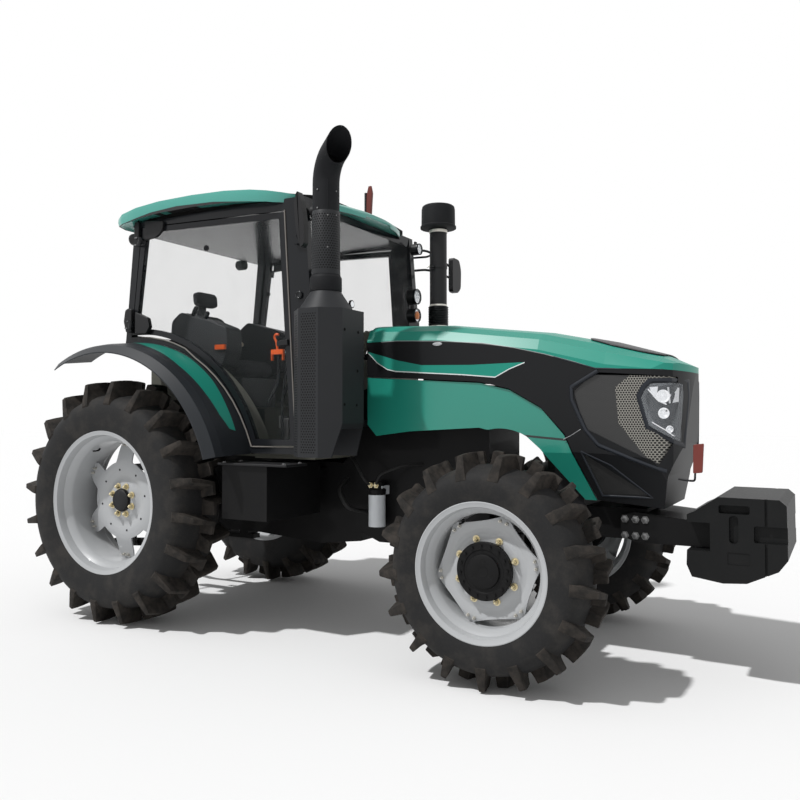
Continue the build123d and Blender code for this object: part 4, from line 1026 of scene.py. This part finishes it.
def onPipe(angle, z, radius):
    a = math.radians(angle)
    return exhaustPlan["x"] + radius * math.cos(a), exhaustPlan["y"] + radius * math.sin(a), z


def makeExhaust():
    # each strand of the pipe runs along the path until it meets the mouth's plane
    plan = exhaustPlan
    (lowAhead, lowZ), (topAhead, topZ) = plan["lips"]
    heading = math.radians(plan["heading"])
    ahead = np.array((math.cos(heading), math.sin(heading), 0))
    normal = ahead * (topZ - lowZ) + (0, 0, lowAhead - topAhead)
    lip = (plan["x"], plan["y"], lowZ) + ahead * lowAhead
    turn = np.linspace(0, 2 * math.pi, 48, endpoint=False)
    far = np.linspace(2.98, 3.6, 400)[:, None]
    share = np.concatenate([[0, 0.55], np.linspace(0.62, 1, 24)])[:, None]
    walls = []
    for radius in (plan["radius"], plan["radius"] - plan["wall"]):
        beyond = (exhaustStrand(far, turn[None, :], radius) - lip) @ normal > 0
        end = far[np.argmax(beyond, axis=0), 0]
        walls.append(exhaustStrand(plan["low"] + share * (end - plan["low"]), turn[None, :], radius))
    pipe = gridShape(np.concatenate([walls[0], walls[1][::-1]]), wrapRows=True, wrapCols=True)
    center = (plan["x"], plan["y"], 0)
    collar = latheShape([(2.268, 0.088), (2.268, 0.0985), (2.272, 0.101), (2.352, 0.101), (2.358, 0.098),
                         (2.372, 0.09), (2.376, 0.084)], center, 2, 48)
    piece("exhaust_pipe", [pipe, collar], "charcoal", stands=["exhaust_stack"], smooth=40)
    sleeve = latheShape([(2.372, 0.0865), (2.374, 0.0905), (2.4, 0.0905), (2.768, 0.0885), (2.771, 0.0865)],
                        center, 2, 64)
    piece("exhaust_sleeve", [sleeve], "sleeve", smooth=40)
    # the mouth is black a little way in
    ring = exhaustStrand(np.full(48, 3.1), turn, plan["radius"] - 0.006)
    piece("exhaust_inside", [solidShape([ring, ring * 0.02 + ring.mean(0) * 0.98])], "pitch")
    bead = latheShape([(0, 0.0052), (0.003, 0.0048), (0.0045, 0.001)], (0, 0, 0), 0, 10)
    rivets = [moved(bead, onPipe(angle, z, 0.0875), math.radians(angle), 2) for angle, z in plan["rivets"]]
    piece("exhaust_rivets", rivets, "zincDull", smooth=40)
    seam = tubeShape([onPipe(plan["seamAngle"], z, 0.0855) for z in (2.77, 2.85, 2.96)], 0.0028, 8)
    piece("exhaust_seam", [seam], "charcoal", smooth=60)
    bolts = [boltShape((1.9455, y, z), 0, 0.0065, 0.005, 18) for y, z in plan["guardBolts"]]
    piece("guard_bolts", bolts, "pitch", smooth=40)


# ---- air intake: bowl, pipe, clamps, bellows ----
intakePlan = dict(
    center=(1.87, 0.505, 0), radius=0.066, hug=0.0655,
    # the bellows: first height, step, number of steps, smallest radius and depth; a ripple every four steps
    bellows=(2.188, 0.0033, 43, 0.073, 0.006),
    bowl=[(2.935, 0.064), (2.937, 0.11), (2.94, 0.1385), (2.944, 0.139), (2.956, 0.1385), (2.962, 0.131),
          (3.085, 0.1295), (3.108, 0.124), (3.117, 0.112), (3.121, 0.08), (3.122, 0.0005)],
    # clamps: height, width, radius
    bands=((2.905, 0.022, 0.0705), (2.336, 0.012, 0.069), (2.176, 0.012, 0.069)), bracket=(2.628, 0.024, 0.0695))


def makeIntake():
    center, radius, hug = (intakePlan[key] for key in ("center", "radius", "hug"))
    low, step, count, small, deep = intakePlan["bellows"]
    ripples = [(low + step * k, small + deep * (1 - math.cos(k * math.pi / 2)) / 2) for k in range(count)]
    pipe = [(1.505, 0.0005), (1.515, 0.045), (1.56, radius), (2.185, radius), (2.186, 0.075)] + ripples
    pipe += [(2.332, 0.075), (2.333, radius), (2.905, radius), (2.906, 0.0005)]
    elbow = pipeShape([(1.87, 0.505, 1.6), (1.87, 0.5, 1.56), (1.87, 0.26, 1.555)], 0.03, hug, 28)
    piece("intake_pipe", [latheShape(pipe, center, 2, 48), elbow], "plastic", stands=["air_intake"])
    piece("intake_bowl", [latheShape(intakePlan["bowl"], center, 2, 64)], "charcoal")

    def band(z, width, outer):
        return latheShape([(z, hug), (z, outer), (z + width, outer), (z + width, hug)], center, 2, 48)
    piece("intake_bands", [band(*values) for values in intakePlan["bands"]], "zinc")
    ear = boxShape((1.835, 0.425, 2.628), (1.87, 0.44, 2.652))
    piece("intake_bracket", [band(*intakePlan["bracket"]), ear], "plastic")
    bolt = [latheShape([(low, radius), (low + long, radius)], (0, 0.432, 2.64), 0, sides)
            for low, long, radius, sides in ((1.815, 0.04, 0.0045, 10), (1.812, 0.008, 0.008, 6))]
    piece("intake_bolt", bolt, "zinc")


# ---- mirrors ----
def makeMirrors():
    # a leaf-shaped one on the right, and one across the left side on long bent arms
    case = plateShape([(1.533, 2.93), (1.548, 2.942), (1.574, 2.88), (1.597, 2.73), (1.598, 2.6), (1.572, 2.572),
                       (1.552, 2.62), (1.53, 2.72), (1.517, 2.86)], 0.012, 1, -0.878, -0.828)
    leftCase = plateShape([(0.862, 2.505), (0.95, 2.5), (1.015, 2.545), (1.022, 2.7), (0.985, 2.78), (0.862, 2.785)],
                          0.03, 0, 1.785, 1.825)
    piece("mirror_cases", [case, leftCase], "plastic", stands=["mirrors"], bevel=0.006, bevelSteps=3)
    arms = [boxShape((1.4475, -0.785, 2.625), (1.5025, -0.762, 2.865)),
            boxShape((1.3, 0.757, 2.62), (1.37, 0.785, 2.9)),
            prismShape([(1.35, 2.885), (1.35, 2.795), (1.47, 2.805), (1.47, 2.868)], 1, 0.765, 0.781)]
    arms += [tubeShape([(1.475, -0.772, z), (1.5, -0.815, z + 0.005), (1.535, -0.85, z + 0.005)], 0.01, 10)
             for z in (2.83, 2.665)]
    for low, middle, end, bend, radius in ((2.872, 2.878, (1.795, 0.94, 2.7), 0.05, 0.01),
                                           (2.8, 2.825, (1.6, 0.932, 2.845), 0.02, 0.009),
                                           (2.69, 2.718, (1.795, 0.935, 2.62), 0.05, 0.01)):
        arms.append(pipeShape([(1.33, 0.77, low), (1.56, 0.925, middle), end], bend, radius, 10))
    arms.append(tubeShape([(1.37, 0.795, 2.695), (1.41, 0.822, 2.7), (1.45, 0.85, 2.705)], 0.019, 12))
    piece("mirror_arms", arms, "gloss", smooth=50)
    glassy = plateShape([(0.874, 2.515), (0.948, 2.512), (1.004, 2.552), (1.01, 2.695), (0.978, 2.77), (0.874, 2.774)],
                        0.025, 0, 1.781, 1.7855)
    piece("mirror_glass", [glassy], "mirror")


# ---- lamps on the cab ----
# along, left, height, radius, kind; the radius's sign is the way the lamp faces
cabLamps = [(1.634, 0.588, 2.44, 0.062, "white"), (1.634, 0.588, 2.29, 0.056, "amber"),
            (1.634, -0.588, 2.44, 0.062, "white"), (1.634, -0.588, 2.29, 0.056, "amber"),
            (1.6, 0.69, 2.842, 0.046, "white"), (1.6, -0.69, 2.842, 0.046, "white"),
            (-0.22, 0.62, 2.865, -0.044, "white"), (-0.22, -0.62, 2.865, -0.044, "white")]


def makeLamps():
    # a ring, a shallow bowl with seven small eyes or an amber dome in it, and a clear front
    rings, bowls, fronts, ambers = [], [], [], []
    for x, y, z, size, kind in cabLamps:
        r, way = abs(size), math.copysign(1, size)

        def turned(steps, segments=32, left=0, up=0, closed=False):
            # steps: distance forward, radius
            profile = [(x + way * ahead, radius) for ahead, radius in steps]
            return latheShape(profile, (0, y + left, z + up), 0, segments, closed)
        rings.append(turned(((-0.004, r * 1.02), (0.01, r * 1.02), (0.014, r * 0.96), (0.01, r * 0.86),
                             (-0.002, r * 0.86)), 40, closed=True))
        bowls.append(turned(((0.0, 0.0005), (0.001, r * 0.88), (0.004, r * 0.86), (0.0025, r * 0.3), (0.0022, 0.001))))
        if kind == "amber":
            ambers.append(turned(((0.003, r * 0.6), (0.01, r * 0.58), (0.014, r * 0.4), (0.0155, 0.001))))
        else:
            for k in range(7):
                a, reach = k * math.pi / 3, 0 if k == 6 else r * 0.5
                bowls.append(turned(((0.002, r * 0.2), (0.006, r * 0.22), (0.0065, r * 0.16), (0.004, r * 0.05)), 14,
                                    reach * math.cos(a), reach * math.sin(a)))
        fronts.append(turned(((0.007, r * 0.9), (0.01, r * 0.86), (0.0125, r * 0.5), (0.0135, 0.001))))
    piece("lamp_rings", rings, "gloss", smooth=40)
    piece("lamp_eyes", bowls, "chrome", smooth=40)
    piece("marker_lenses", ambers, "amber", smooth=50)
    piece("lamp_fronts", fronts, "lampGlass", smooth=50)


def makeRoundMirror():
    # small round mirror on a stalk from the hood's rear
    at = (0, -0.317, 2.272)
    stalk = pipeShape([(1.64, -0.3, 2.105), (1.6, -0.31, 2.16), (1.6, -0.317, 2.245)], 0.02, 0.004, 8)
    disc = latheShape([(1.592, 0.026), (1.594, 0.029), (1.606, 0.029), (1.608, 0.024), (1.605, 0.0005)], at, 0, 28)
    piece("hood_rear_mirror", [stalk, disc], "gloss", smooth=40)
    face = latheShape([(1.605, 0.022), (1.6085, 0.0215), (1.6088, 0.0005)], at, 0, 24)
    piece("hood_rear_mirror_glass", [face], "mirror", smooth=40)


def makeBeacon():
    # a leaning fin on the roof: rear edge, front edge, half width and height of each row
    rows = [[(rear, 0.3 - half, z), (front, 0.3 - half, z), (front, 0.3 + half, z), (rear, 0.3 + half, z)]
            for rear, front, half, z in ((1.335, 1.385, 0.015, 3.055), (1.352, 1.398, 0.012, 3.235),
                                         (1.364, 1.388, 0.008, 3.291))]
    piece("roof_beacon", [solidShape(rows)], "redBrown", bevel=0.003)
    piece("roof_beacon_edge", [boxShape((1.333, 0.283, 3.055), (1.35, 0.317, 3.24))], "plastic",
          bevel=0.002)


makeHoodTrim()
makeHeadlamps()
makeMarker()
makeExhaust()
makeIntake()
makeMirrors()
makeLamps()
makeRoundMirror()
makeBeacon()
print("bodywork made")


# ---- roof: a crowned shell, its front corners swept back ----
roofPlan = dict(
    # along, half width, height at the middle, height of the eave
    stations=[(-0.25, 0.56, 2.95, 2.928), (-0.235, 0.7, 2.985, 2.925), (-0.19, 0.8, 3.015, 2.925),
              (-0.11, 0.838, 3.045, 2.928), (0.05, 0.85, 3.078, 2.945), (0.28, 0.852, 3.096, 2.962),
              (0.6, 0.852, 3.098, 2.965), (0.9, 0.85, 3.088, 2.955), (1.12, 0.842, 3.066, 2.938),
              (1.24, 0.815, 3.048, 2.928), (1.33, 0.77, 3.032, 2.918), (1.4, 0.705, 3.018, 2.912),
              (1.47, 0.61, 3.002, 2.906), (1.54, 0.48, 2.984, 2.902), (1.6, 0.32, 2.966, 2.902),
              (1.63, 0.18, 2.95, 2.903)])


def makeRoof():
    # each row: a top falling with |sin|^3.2 across it, a rounded edge and a flat underside
    across = np.sin(np.linspace(-1, 1, 41) * math.pi / 2)
    rows = []
    for x, half, top, eave in roofPlan["stations"]:
        edge = eave + (top - eave) * 0.62
        crown = edge + (top - edge) * (1 - np.abs(across) ** 3.2)
        upper = np.column_stack([np.full(41, x), across * half, crown])
        skirt = [(x, half * 1.004, eave + (edge - eave) * 0.55), (x, half * 0.992, eave)]
        skirt.append((x, half * 0.94, eave + 0.018))
        rows.append(np.vstack([upper, skirt, [(x, -y, z) for x, y, z in reversed(skirt)]]))
    piece("roof_shell", [solidShape(rows)], "roof", stands=["roof"], smooth=48)
    liner = [(-0.14, 0.7), (0.0, 0.735), (1.36, 0.735), (1.5, 0.6), (1.53, 0.4), (1.53, 0.0)]
    outline = liner + [(x, -y) for x, y in reversed(liner[:-1])]
    piece("roof_liner", [prismShape(outline, 2, 2.935, 2.985)], "pitch")
    rods = [tubeShape([(x, -0.52, 2.868), (x + 0.27, -0.4, 2.868)], 0.006, 8) for x in (1.15, 1.2)]
    piece("blind_rods", rods, "zincDull", smooth=60)


# ---- doors and posts ----
def arcPoints(radius, first, last, count):
    # on a circle about the fender's middle
    turn = np.radians(np.linspace(first, last, count))
    return [(-0.02 + radius * math.cos(t), 0.9 + radius * math.sin(t)) for t in turn]


def makeDoors():
    for side in ("right", "left"):
        # weather strip round the doorway, on the fixed frame
        strip = [(1.351, 2.868), (1.452, 1.282), (1.09, 1.28)]
        strip += arcPoints(1.158, 19.2, 60, 8) + arcPoints(1.178, 66, 88, 5)
        strip = tubeShape([(x, -0.7585, z) for x, z in strip], 0.0055, 8)
        piece(f"door_strip_{side}", onSide([strip], side), "stripGrey", smooth=60)
        # hinge covers: the front part goes with the door, the rear part stays
        high = plateShape([(0.062, 2.945), (0.251, 2.922), (0.246, 2.868), (0.222, 2.836), (0.172, 2.808),
                           (0.062, 2.8)], 0.01, 1, -0.778, -0.7555)
        low = plateShape([(-0.02, 2.268), (0.11, 2.216), (0.129, 2.149), (0.093, 2.097), (-0.02, 2.108)], 0.012,
                         1, -0.79, -0.7555)
        piece(f"hinge_covers_{side}", onSide([high, low], side), "plastic", f"door_{side}", bevel=0.004)
        fixed = plateShape([(-0.14, 2.2), (-0.125, 2.285), (-0.092, 2.3), (-0.06, 2.287), (-0.06, 2.115),
                            (-0.115, 2.118)], 0.012, 1, -0.79, -0.757)
        cap = plateShape([(-0.045, 2.948), (0.0, 2.948), (0.0, 2.815), (-0.05, 2.82)], 0.008, 1, -0.778, -0.757)
        piece(f"hinge_mounts_{side}", onSide([fixed, cap], side), "plastic", bevel=0.004)
        knobs = [latheShape([(-0.757, 0.0005), (-0.757, 0.026), (-0.768, 0.026), (-0.771, 0.02), (-0.766, 0.014),
                             (-0.766, 0.0005)], (1.475, 0, 2.288), 1, 28)]
        piece(f"post_plug_{side}", onSide(knobs, side), "gloss", smooth=40)
        handle = [plateShape([(1.3, 1.955), (1.392, 1.96), (1.388, 2.0), (1.3, 1.99)], 0.008, 1,
                             -0.776, -0.7555)]
        piece(f"door_handle_{side}", onSide(handle, side), "plastic", f"door_{side}", bevel=0.003)
        latches = [latheShape([(-0.732, 0.0005), (-0.732, 0.02), (-0.745, 0.02), (-0.745, 0.0005)], (x, 0, z), 1, 20)
                   for x, z in ((0.64, 2.69), (0.02, 2.6))]
        piece(f"glass_plugs_{side}", onSide(latches, side), "gloss", f"door_{side}", smooth=40)


# ---- inside of the cab ----
def makeInterior():
    side = [(0.03, 2.08), (0.042, 2.225), (0.136, 2.292), (0.225, 2.262), (0.42, 2.215), (0.6, 2.15),
            (0.612, 1.99), (0.56, 1.86), (0.3, 1.8), (0.03, 1.9)]
    panels = [plateShape(side, 0.03, 1, low, low + 0.17) for low in (-0.48, 0.31)]
    piece("side_consoles", panels, "console", bevel=0.01, bevelSteps=3)
    rods, grips = [], []
    for x, z, topX, topZ in ((0.176, 2.148, 0.277, 2.33), (0.278, 2.102, 0.395, 2.282)):
        rods.append(tubeShape([(x - 0.02, -0.45, z - 0.05), (topX, -0.45, topZ)], 0.007, 10))
        t = np.array((topX - x, topZ - z)) / math.hypot(topX - x, topZ - z)
        grip = [(topX + t[0] * d, -0.45, topZ + t[1] * d) for d in (-0.08, -0.072, -0.04, -0.01, 0.0)]
        grips.append(tubeShape(grip, [0.01, 0.017, 0.019, 0.017, 0.008], 14))
    piece("lever_rods", rods, "zincDull", smooth=60)
    column = tubeShape([(0.985, -0.3, 1.62), (1.115, -0.3, 1.88)], 0.01, 10)
    ball = latheShape([(-0.034 * math.cos(t), max(0.0005, 0.034 * math.sin(t))) for t in np.linspace(0, math.pi, 15)],
                      (1.14, -0.45, 1.925), 1, 24)
    stay = pipeShape([(1.225, -0.655, 1.9), (1.225, -0.655, 1.72), (1.13, -0.655, 1.58)], 0.05, 0.011, 10)
    stem = tubeShape([(1.14, -0.45, 1.9), (1.1, -0.45, 1.6), (1.1, -0.45, 1.3)], 0.008, 10)
    piece("levers", grips + [column, ball, stay, stem], "gloss", smooth=60)
    hook = pipeShape([(1.218, -0.66, 1.945), (1.21, -0.66, 2.0), (1.19, -0.66, 2.03),
                                  (1.205, -0.66, 2.055), (1.228, -0.66, 2.045)], 0.015, 0.008, 10)
    holder = [prismShape([(low, bottom), (high, bottom), (high, top), (low, top)], 1, -0.672, -0.65)
              for low, high, bottom, top in ((1.172, 1.272, 1.912, 1.945), (1.172, 1.178, 1.87, 1.912),
                                             (1.266, 1.272, 1.87, 1.912))]
    caps = [boxShape((0.505, -0.5, 1.985), (0.6, -0.46, 2.02))]
    piece("hammer_and_holder", [hook] + holder + caps, "orange", bevel=0.002)
    arm = pipeShape([(0.48, -0.275, 1.9), (0.47, -0.275, 1.985), (0.57, -0.275, 2.045)], 0.04, 0.024, 16)
    piece("armrest", [arm], "cream", smooth=60)
    pedals = [boxShape((0.985, y - 0.045, 1.4), (1.0, y + 0.045, 1.49)) for y in (-0.3, -0.16, 0.22)]
    bars = [boxShape((0.995, y - 0.01, 1.28), (1.045, y + 0.01, 1.47)) for y in (-0.3, -0.16, 0.22)]
    piece("pedals", pedals + bars, "zincDull", bevel=0.003)
    # steering wheel's rim over its hub: a ring tilted back with the column
    tilt = math.radians(35)
    c, s = math.cos(tilt), math.sin(tilt)
    turn = np.linspace(0, 2 * math.pi, 64, endpoint=False)
    small = np.linspace(0, 2 * math.pi, 14, endpoint=False)
    r = 0.19 + 0.0175 * np.cos(small)
    ahead, up = r * np.cos(turn)[:, None], 0.213 + 0.0175 * np.sin(small)
    ring = np.stack([1.13 + ahead * c - up * s, r * np.sin(turn)[:, None], 1.85 + ahead * s + up * c], -1)
    piece("steering_rim", [gridShape(ring, wrapRows=True, wrapCols=True)], "plastic", smooth=60)
    dash = roundedOutline([(1.1, 1.87), (1.175, 1.985), (1.33, 2.01), (1.42, 1.96), (1.44, 1.86)], 0.03)
    piece("dashboard", [prismShape(dash, 1, -0.185, 0.185)], "console", bevel=0.012, bevelSteps=3)


makeRoof()
makeDoors()
makeInterior()
print("cab made")


# ---- seat: three stuffed pads on a plain foot ----
seatPlan = dict(
    power=0.42, voxel=0.009, pressure=4.0, frames=20, cap=0.022,
    # name, middle, half sizes, lean in degrees, fill
    pads=[("seat_cushion", (0.31, 0.0, 1.85), (0.235, 0.235, 0.05), -4, 0.7),
          ("seat_back", (-0.01, 0.0, 2.13), (0.045, 0.215, 0.205), -8, 0.7),
          ("seat_headrest", (-0.055, 0.0, 2.455), (0.035, 0.125, 0.06), -8, 0.8)])


def pillowShape(middle, half, lean):
    # a superellipsoid: each cosine and sine raised to the same small power
    power = seatPlan["power"]

    def squared(value):
        return np.sign(value) * np.abs(value) ** power
    v = np.linspace(-1.48, 1.48, 22)[:, None]
    u = np.linspace(0, 2 * math.pi, 48, endpoint=False)[None, :]
    x = squared(np.cos(v)) * squared(np.cos(u)) * half[0]
    y = squared(np.cos(v)) * squared(np.sin(u)) * half[1]
    z = squared(np.sin(v)) * half[2] + 0 * u
    turn = math.radians(lean)
    points = np.stack([middle[0] + x * math.cos(turn) + z * math.sin(turn), middle[1] + y,
                       middle[2] - x * math.sin(turn) + z * math.cos(turn)], -1)
    return gridShape(points, wrapCols=True, capRows=True)


def freshMesh(thing):
    # the shown mesh, made the piece's own
    graph = bpy.context.evaluated_depsgraph_get()
    return bpy.data.meshes.new_from_object(thing.evaluated_get(graph))


def meshPoints(mesh):
    flat = np.empty(len(mesh.vertices) * 3)
    mesh.vertices.foreach_get("co", flat)
    return flat.reshape(-1, 3)


def plump(thing):
    # cloth under light pressure; no point goes further than the cap from where it began
    even = thing.modifiers.new("even", "REMESH")
    even.mode, even.voxel_size, even.use_smooth_shade = "VOXEL", seatPlan["voxel"], True
    thing.data = freshMesh(thing)
    thing.modifiers.clear()
    start = meshPoints(thing.data)
    cloth = thing.modifiers.new("cloth", "CLOTH")
    cloth.settings.use_pressure = True
    cloth.settings.uniform_pressure_force = seatPlan["pressure"]
    cloth.settings.effector_weights.gravity = 0
    cloth.point_cache.frame_start, cloth.point_cache.frame_end = 1, seatPlan["frames"]
    for frame in range(1, seatPlan["frames"] + 1):
        bpy.context.scene.frame_set(frame)
    swollen = freshMesh(thing)
    shift = meshPoints(swollen) - start
    far = np.maximum(np.linalg.norm(shift, axis=1, keepdims=True), 1e-9)
    swollen.vertices.foreach_set("co", (start + shift * np.minimum(1, seatPlan["cap"] / far)).ravel())
    thing.modifiers.clear()
    thing.data = swollen
    bpy.context.scene.frame_set(1)
    soften = thing.modifiers.new("soften", "SUBSURF")
    soften.levels = soften.render_levels = 1


def makeSeat():
    for index, (name, middle, half, lean, fill) in enumerate(seatPlan["pads"]):
        pad = piece(name, [pillowShape(middle, half, lean)], "seat",
                    stands=() if index else ["seat"], smooth=60)
        plump(pad)
    foot = [boxShape((0.13, -0.17, 1.3), (0.45, 0.17, 1.56)), boxShape((0.06, -0.215, 1.56), (0.52, 0.215, 1.795)),
            boxShape((-0.105, -0.19, 1.8), (-0.07, 0.19, 2.33)), boxShape((-0.115, -0.05, 2.3), (-0.085, 0.05, 2.45))]
    piece("seat_foot", foot, "console", bevel=0.012, bevelSteps=3)


# ---- boxes, bolts and pipes along the right side ----
def makeSideParts():
    lid = plateShape([(0.925, -0.935), (1.505, -0.935), (1.505, -0.7), (0.925, -0.7)], 0.012, 2,
                     1.16, 1.176)
    piece("battery_lid", [lid], "plastic", bevel=0.004)
    screws = [boltShape((x, y, 1.176), 2, 0.011, 0.009) for x in (0.965, 1.465) for y in (-0.905, -0.735)]
    for x in (3.483, 3.544, 3.599):
        for z in (0.887, 0.793):
            screws += [boltShape((x, way * 0.285, z), 1, 0.016, way * 0.012) for way in (-1, 1)]
    piece("side_bolts", screws, "zincDull", smooth=30)
    head = latheShape([(0.955, 0.0005), (0.955, 0.06), (0.99, 0.062), (1.0, 0.05), (1.045, 0.048), (1.045, 0.0005)],
                      (1.83, -0.35, 0), 2, 32)
    arm = boxShape((1.8, -0.35, 0.995), (1.86, -0.24, 1.04))
    piece("filter_head", [head, arm], "black", bevel=0.002)
    nuts = [boltShape((1.83 + dx, -0.398, 1.022), 1, 0.014, -0.02) for dx in (-0.022, 0.022)]
    piece("filter_nuts", nuts, "brass", smooth=30)
    hoses = []
    for path, radius in ([[(1.808, -0.405, 1.022), (1.8, -0.47, 1.06), (1.7, -0.43, 1.18), (1.6, -0.32, 1.2)], 0.009],
                         [[(1.852, -0.405, 1.022), (1.9, -0.44, 1.1), (2.05, -0.38, 1.16), (2.15, -0.26, 1.16)], 0.009],
                         [[(1.56, -0.3, 1.05), (1.56, -0.42, 0.98), (1.64, -0.43, 0.86), (1.72, -0.28, 0.82)], 0.015]):
        hoses.append(tubeShape(roundedPath(path, 0.05), radius, 12))
    piece("fuel_hoses", hoses, "hose", smooth=60)


makeSeat()
makeSideParts()
print("seat and side parts made")


# ---- CAD nodes that keep their shape ----
dressing = dict(
    hood="hood", side_panel_right="panel", side_panel_left="panel", fender_right="fenderBand",
    fender_left="fenderBand", exhaust_guard="guard", nose_mesh="noseMesh", cab_frame="gloss",
    cab_tub="greyTub", cab_glass="glass", door_left="gloss", door_right="gloss", door_glass_left="glass",
    door_glass_right="glass", console="plastic", battery_box="black", fuel_tank="black", fuel_filter="filter",
    gearbox="black", rear_axle="black", engine_block="black", front_frame="black", front_axle_beam="black",
    knuckle_left="black", knuckle_right="black", front_weights="weight", radiator="plastic",
    work_lamps="plastic", drawbar="black", lower_links="black", lift_arms="black", lift_rods="black",
    headlamps="lampDark")
for node, name in dressing.items():
    for place in frame["nodes"][node].material_slots:
        place.material = finish[name]
print("paint laid on")


# ---- floor and light ----
def makeStage():
    mesh = bpy.data.meshes.new("floor")
    half = 60.0
    mesh.from_pydata([(-half, -half, 0), (half, -half, 0), (half, half, 0), (-half, half, 0)], [], [(0, 1, 2, 3)])
    floor = addObject("floor", mesh)
    material, shader, place = startMaterial("pale floor")
    setShader(place, shader, Base_Color=(0.86, 0.86, 0.86), Roughness=0.9, Specular_IOR_Level=0.1)
    mesh.materials.append(material)


lightPlan = dict(sunAt=(-4.2, -6.0, 10.5), sunPower=2.7, sunSize=2.0, fillAt=(6.0, -9.0, 5.0), fillPower=25.0,
                 fillSize=6.0, fillAim=(0, 0, 1.2), sky=0.45)


def makeLights():
    sun = bpy.data.lights.new("sun", "SUN")
    sun.energy = lightPlan["sunPower"]
    sun.angle = math.radians(lightPlan["sunSize"])
    aim(addObject("sun", sun), -Vector(lightPlan["sunAt"]))
    fill = bpy.data.lights.new("fill", "AREA")
    fill.energy = lightPlan["fillPower"]
    fill.size = lightPlan["fillSize"]
    fillObject = addObject("fill", fill)
    fillObject.location = lightPlan["fillAt"]
    aim(fillObject, Vector(lightPlan["fillAim"]) - fillObject.location)
    world = bpy.data.worlds.new("sky")
    world.use_nodes = True
    tree = world.node_tree
    bpy.context.scene.world = world
    background = tree.nodes["Background"]
    # what the camera sees past the floor is white; what lights the tractor is a softer grey sky
    rays = tree.nodes.new("ShaderNodeLightPath")
    seen = rays.outputs["Is Camera Ray"]
    for name in ("Is Glossy Ray", "Is Transmission Ray"):
        either = tree.nodes.new("ShaderNodeMath")
        either.operation = "MAXIMUM"
        tree.links.new(seen, either.inputs[0])
        tree.links.new(rays.outputs[name], either.inputs[1])
        seen = either.outputs[0]
    shade = tree.nodes.new("ShaderNodeMapRange")
    shade.inputs[3].default_value = lightPlan["sky"]
    shade.inputs[4].default_value = 1.0
    tree.links.new(seen, shade.inputs[0])
    background.inputs[0].default_value = (1, 1, 1, 1)
    tree.links.new(shade.outputs[0], background.inputs[1])


makeStage()
makeLights()
print("stage and light set")
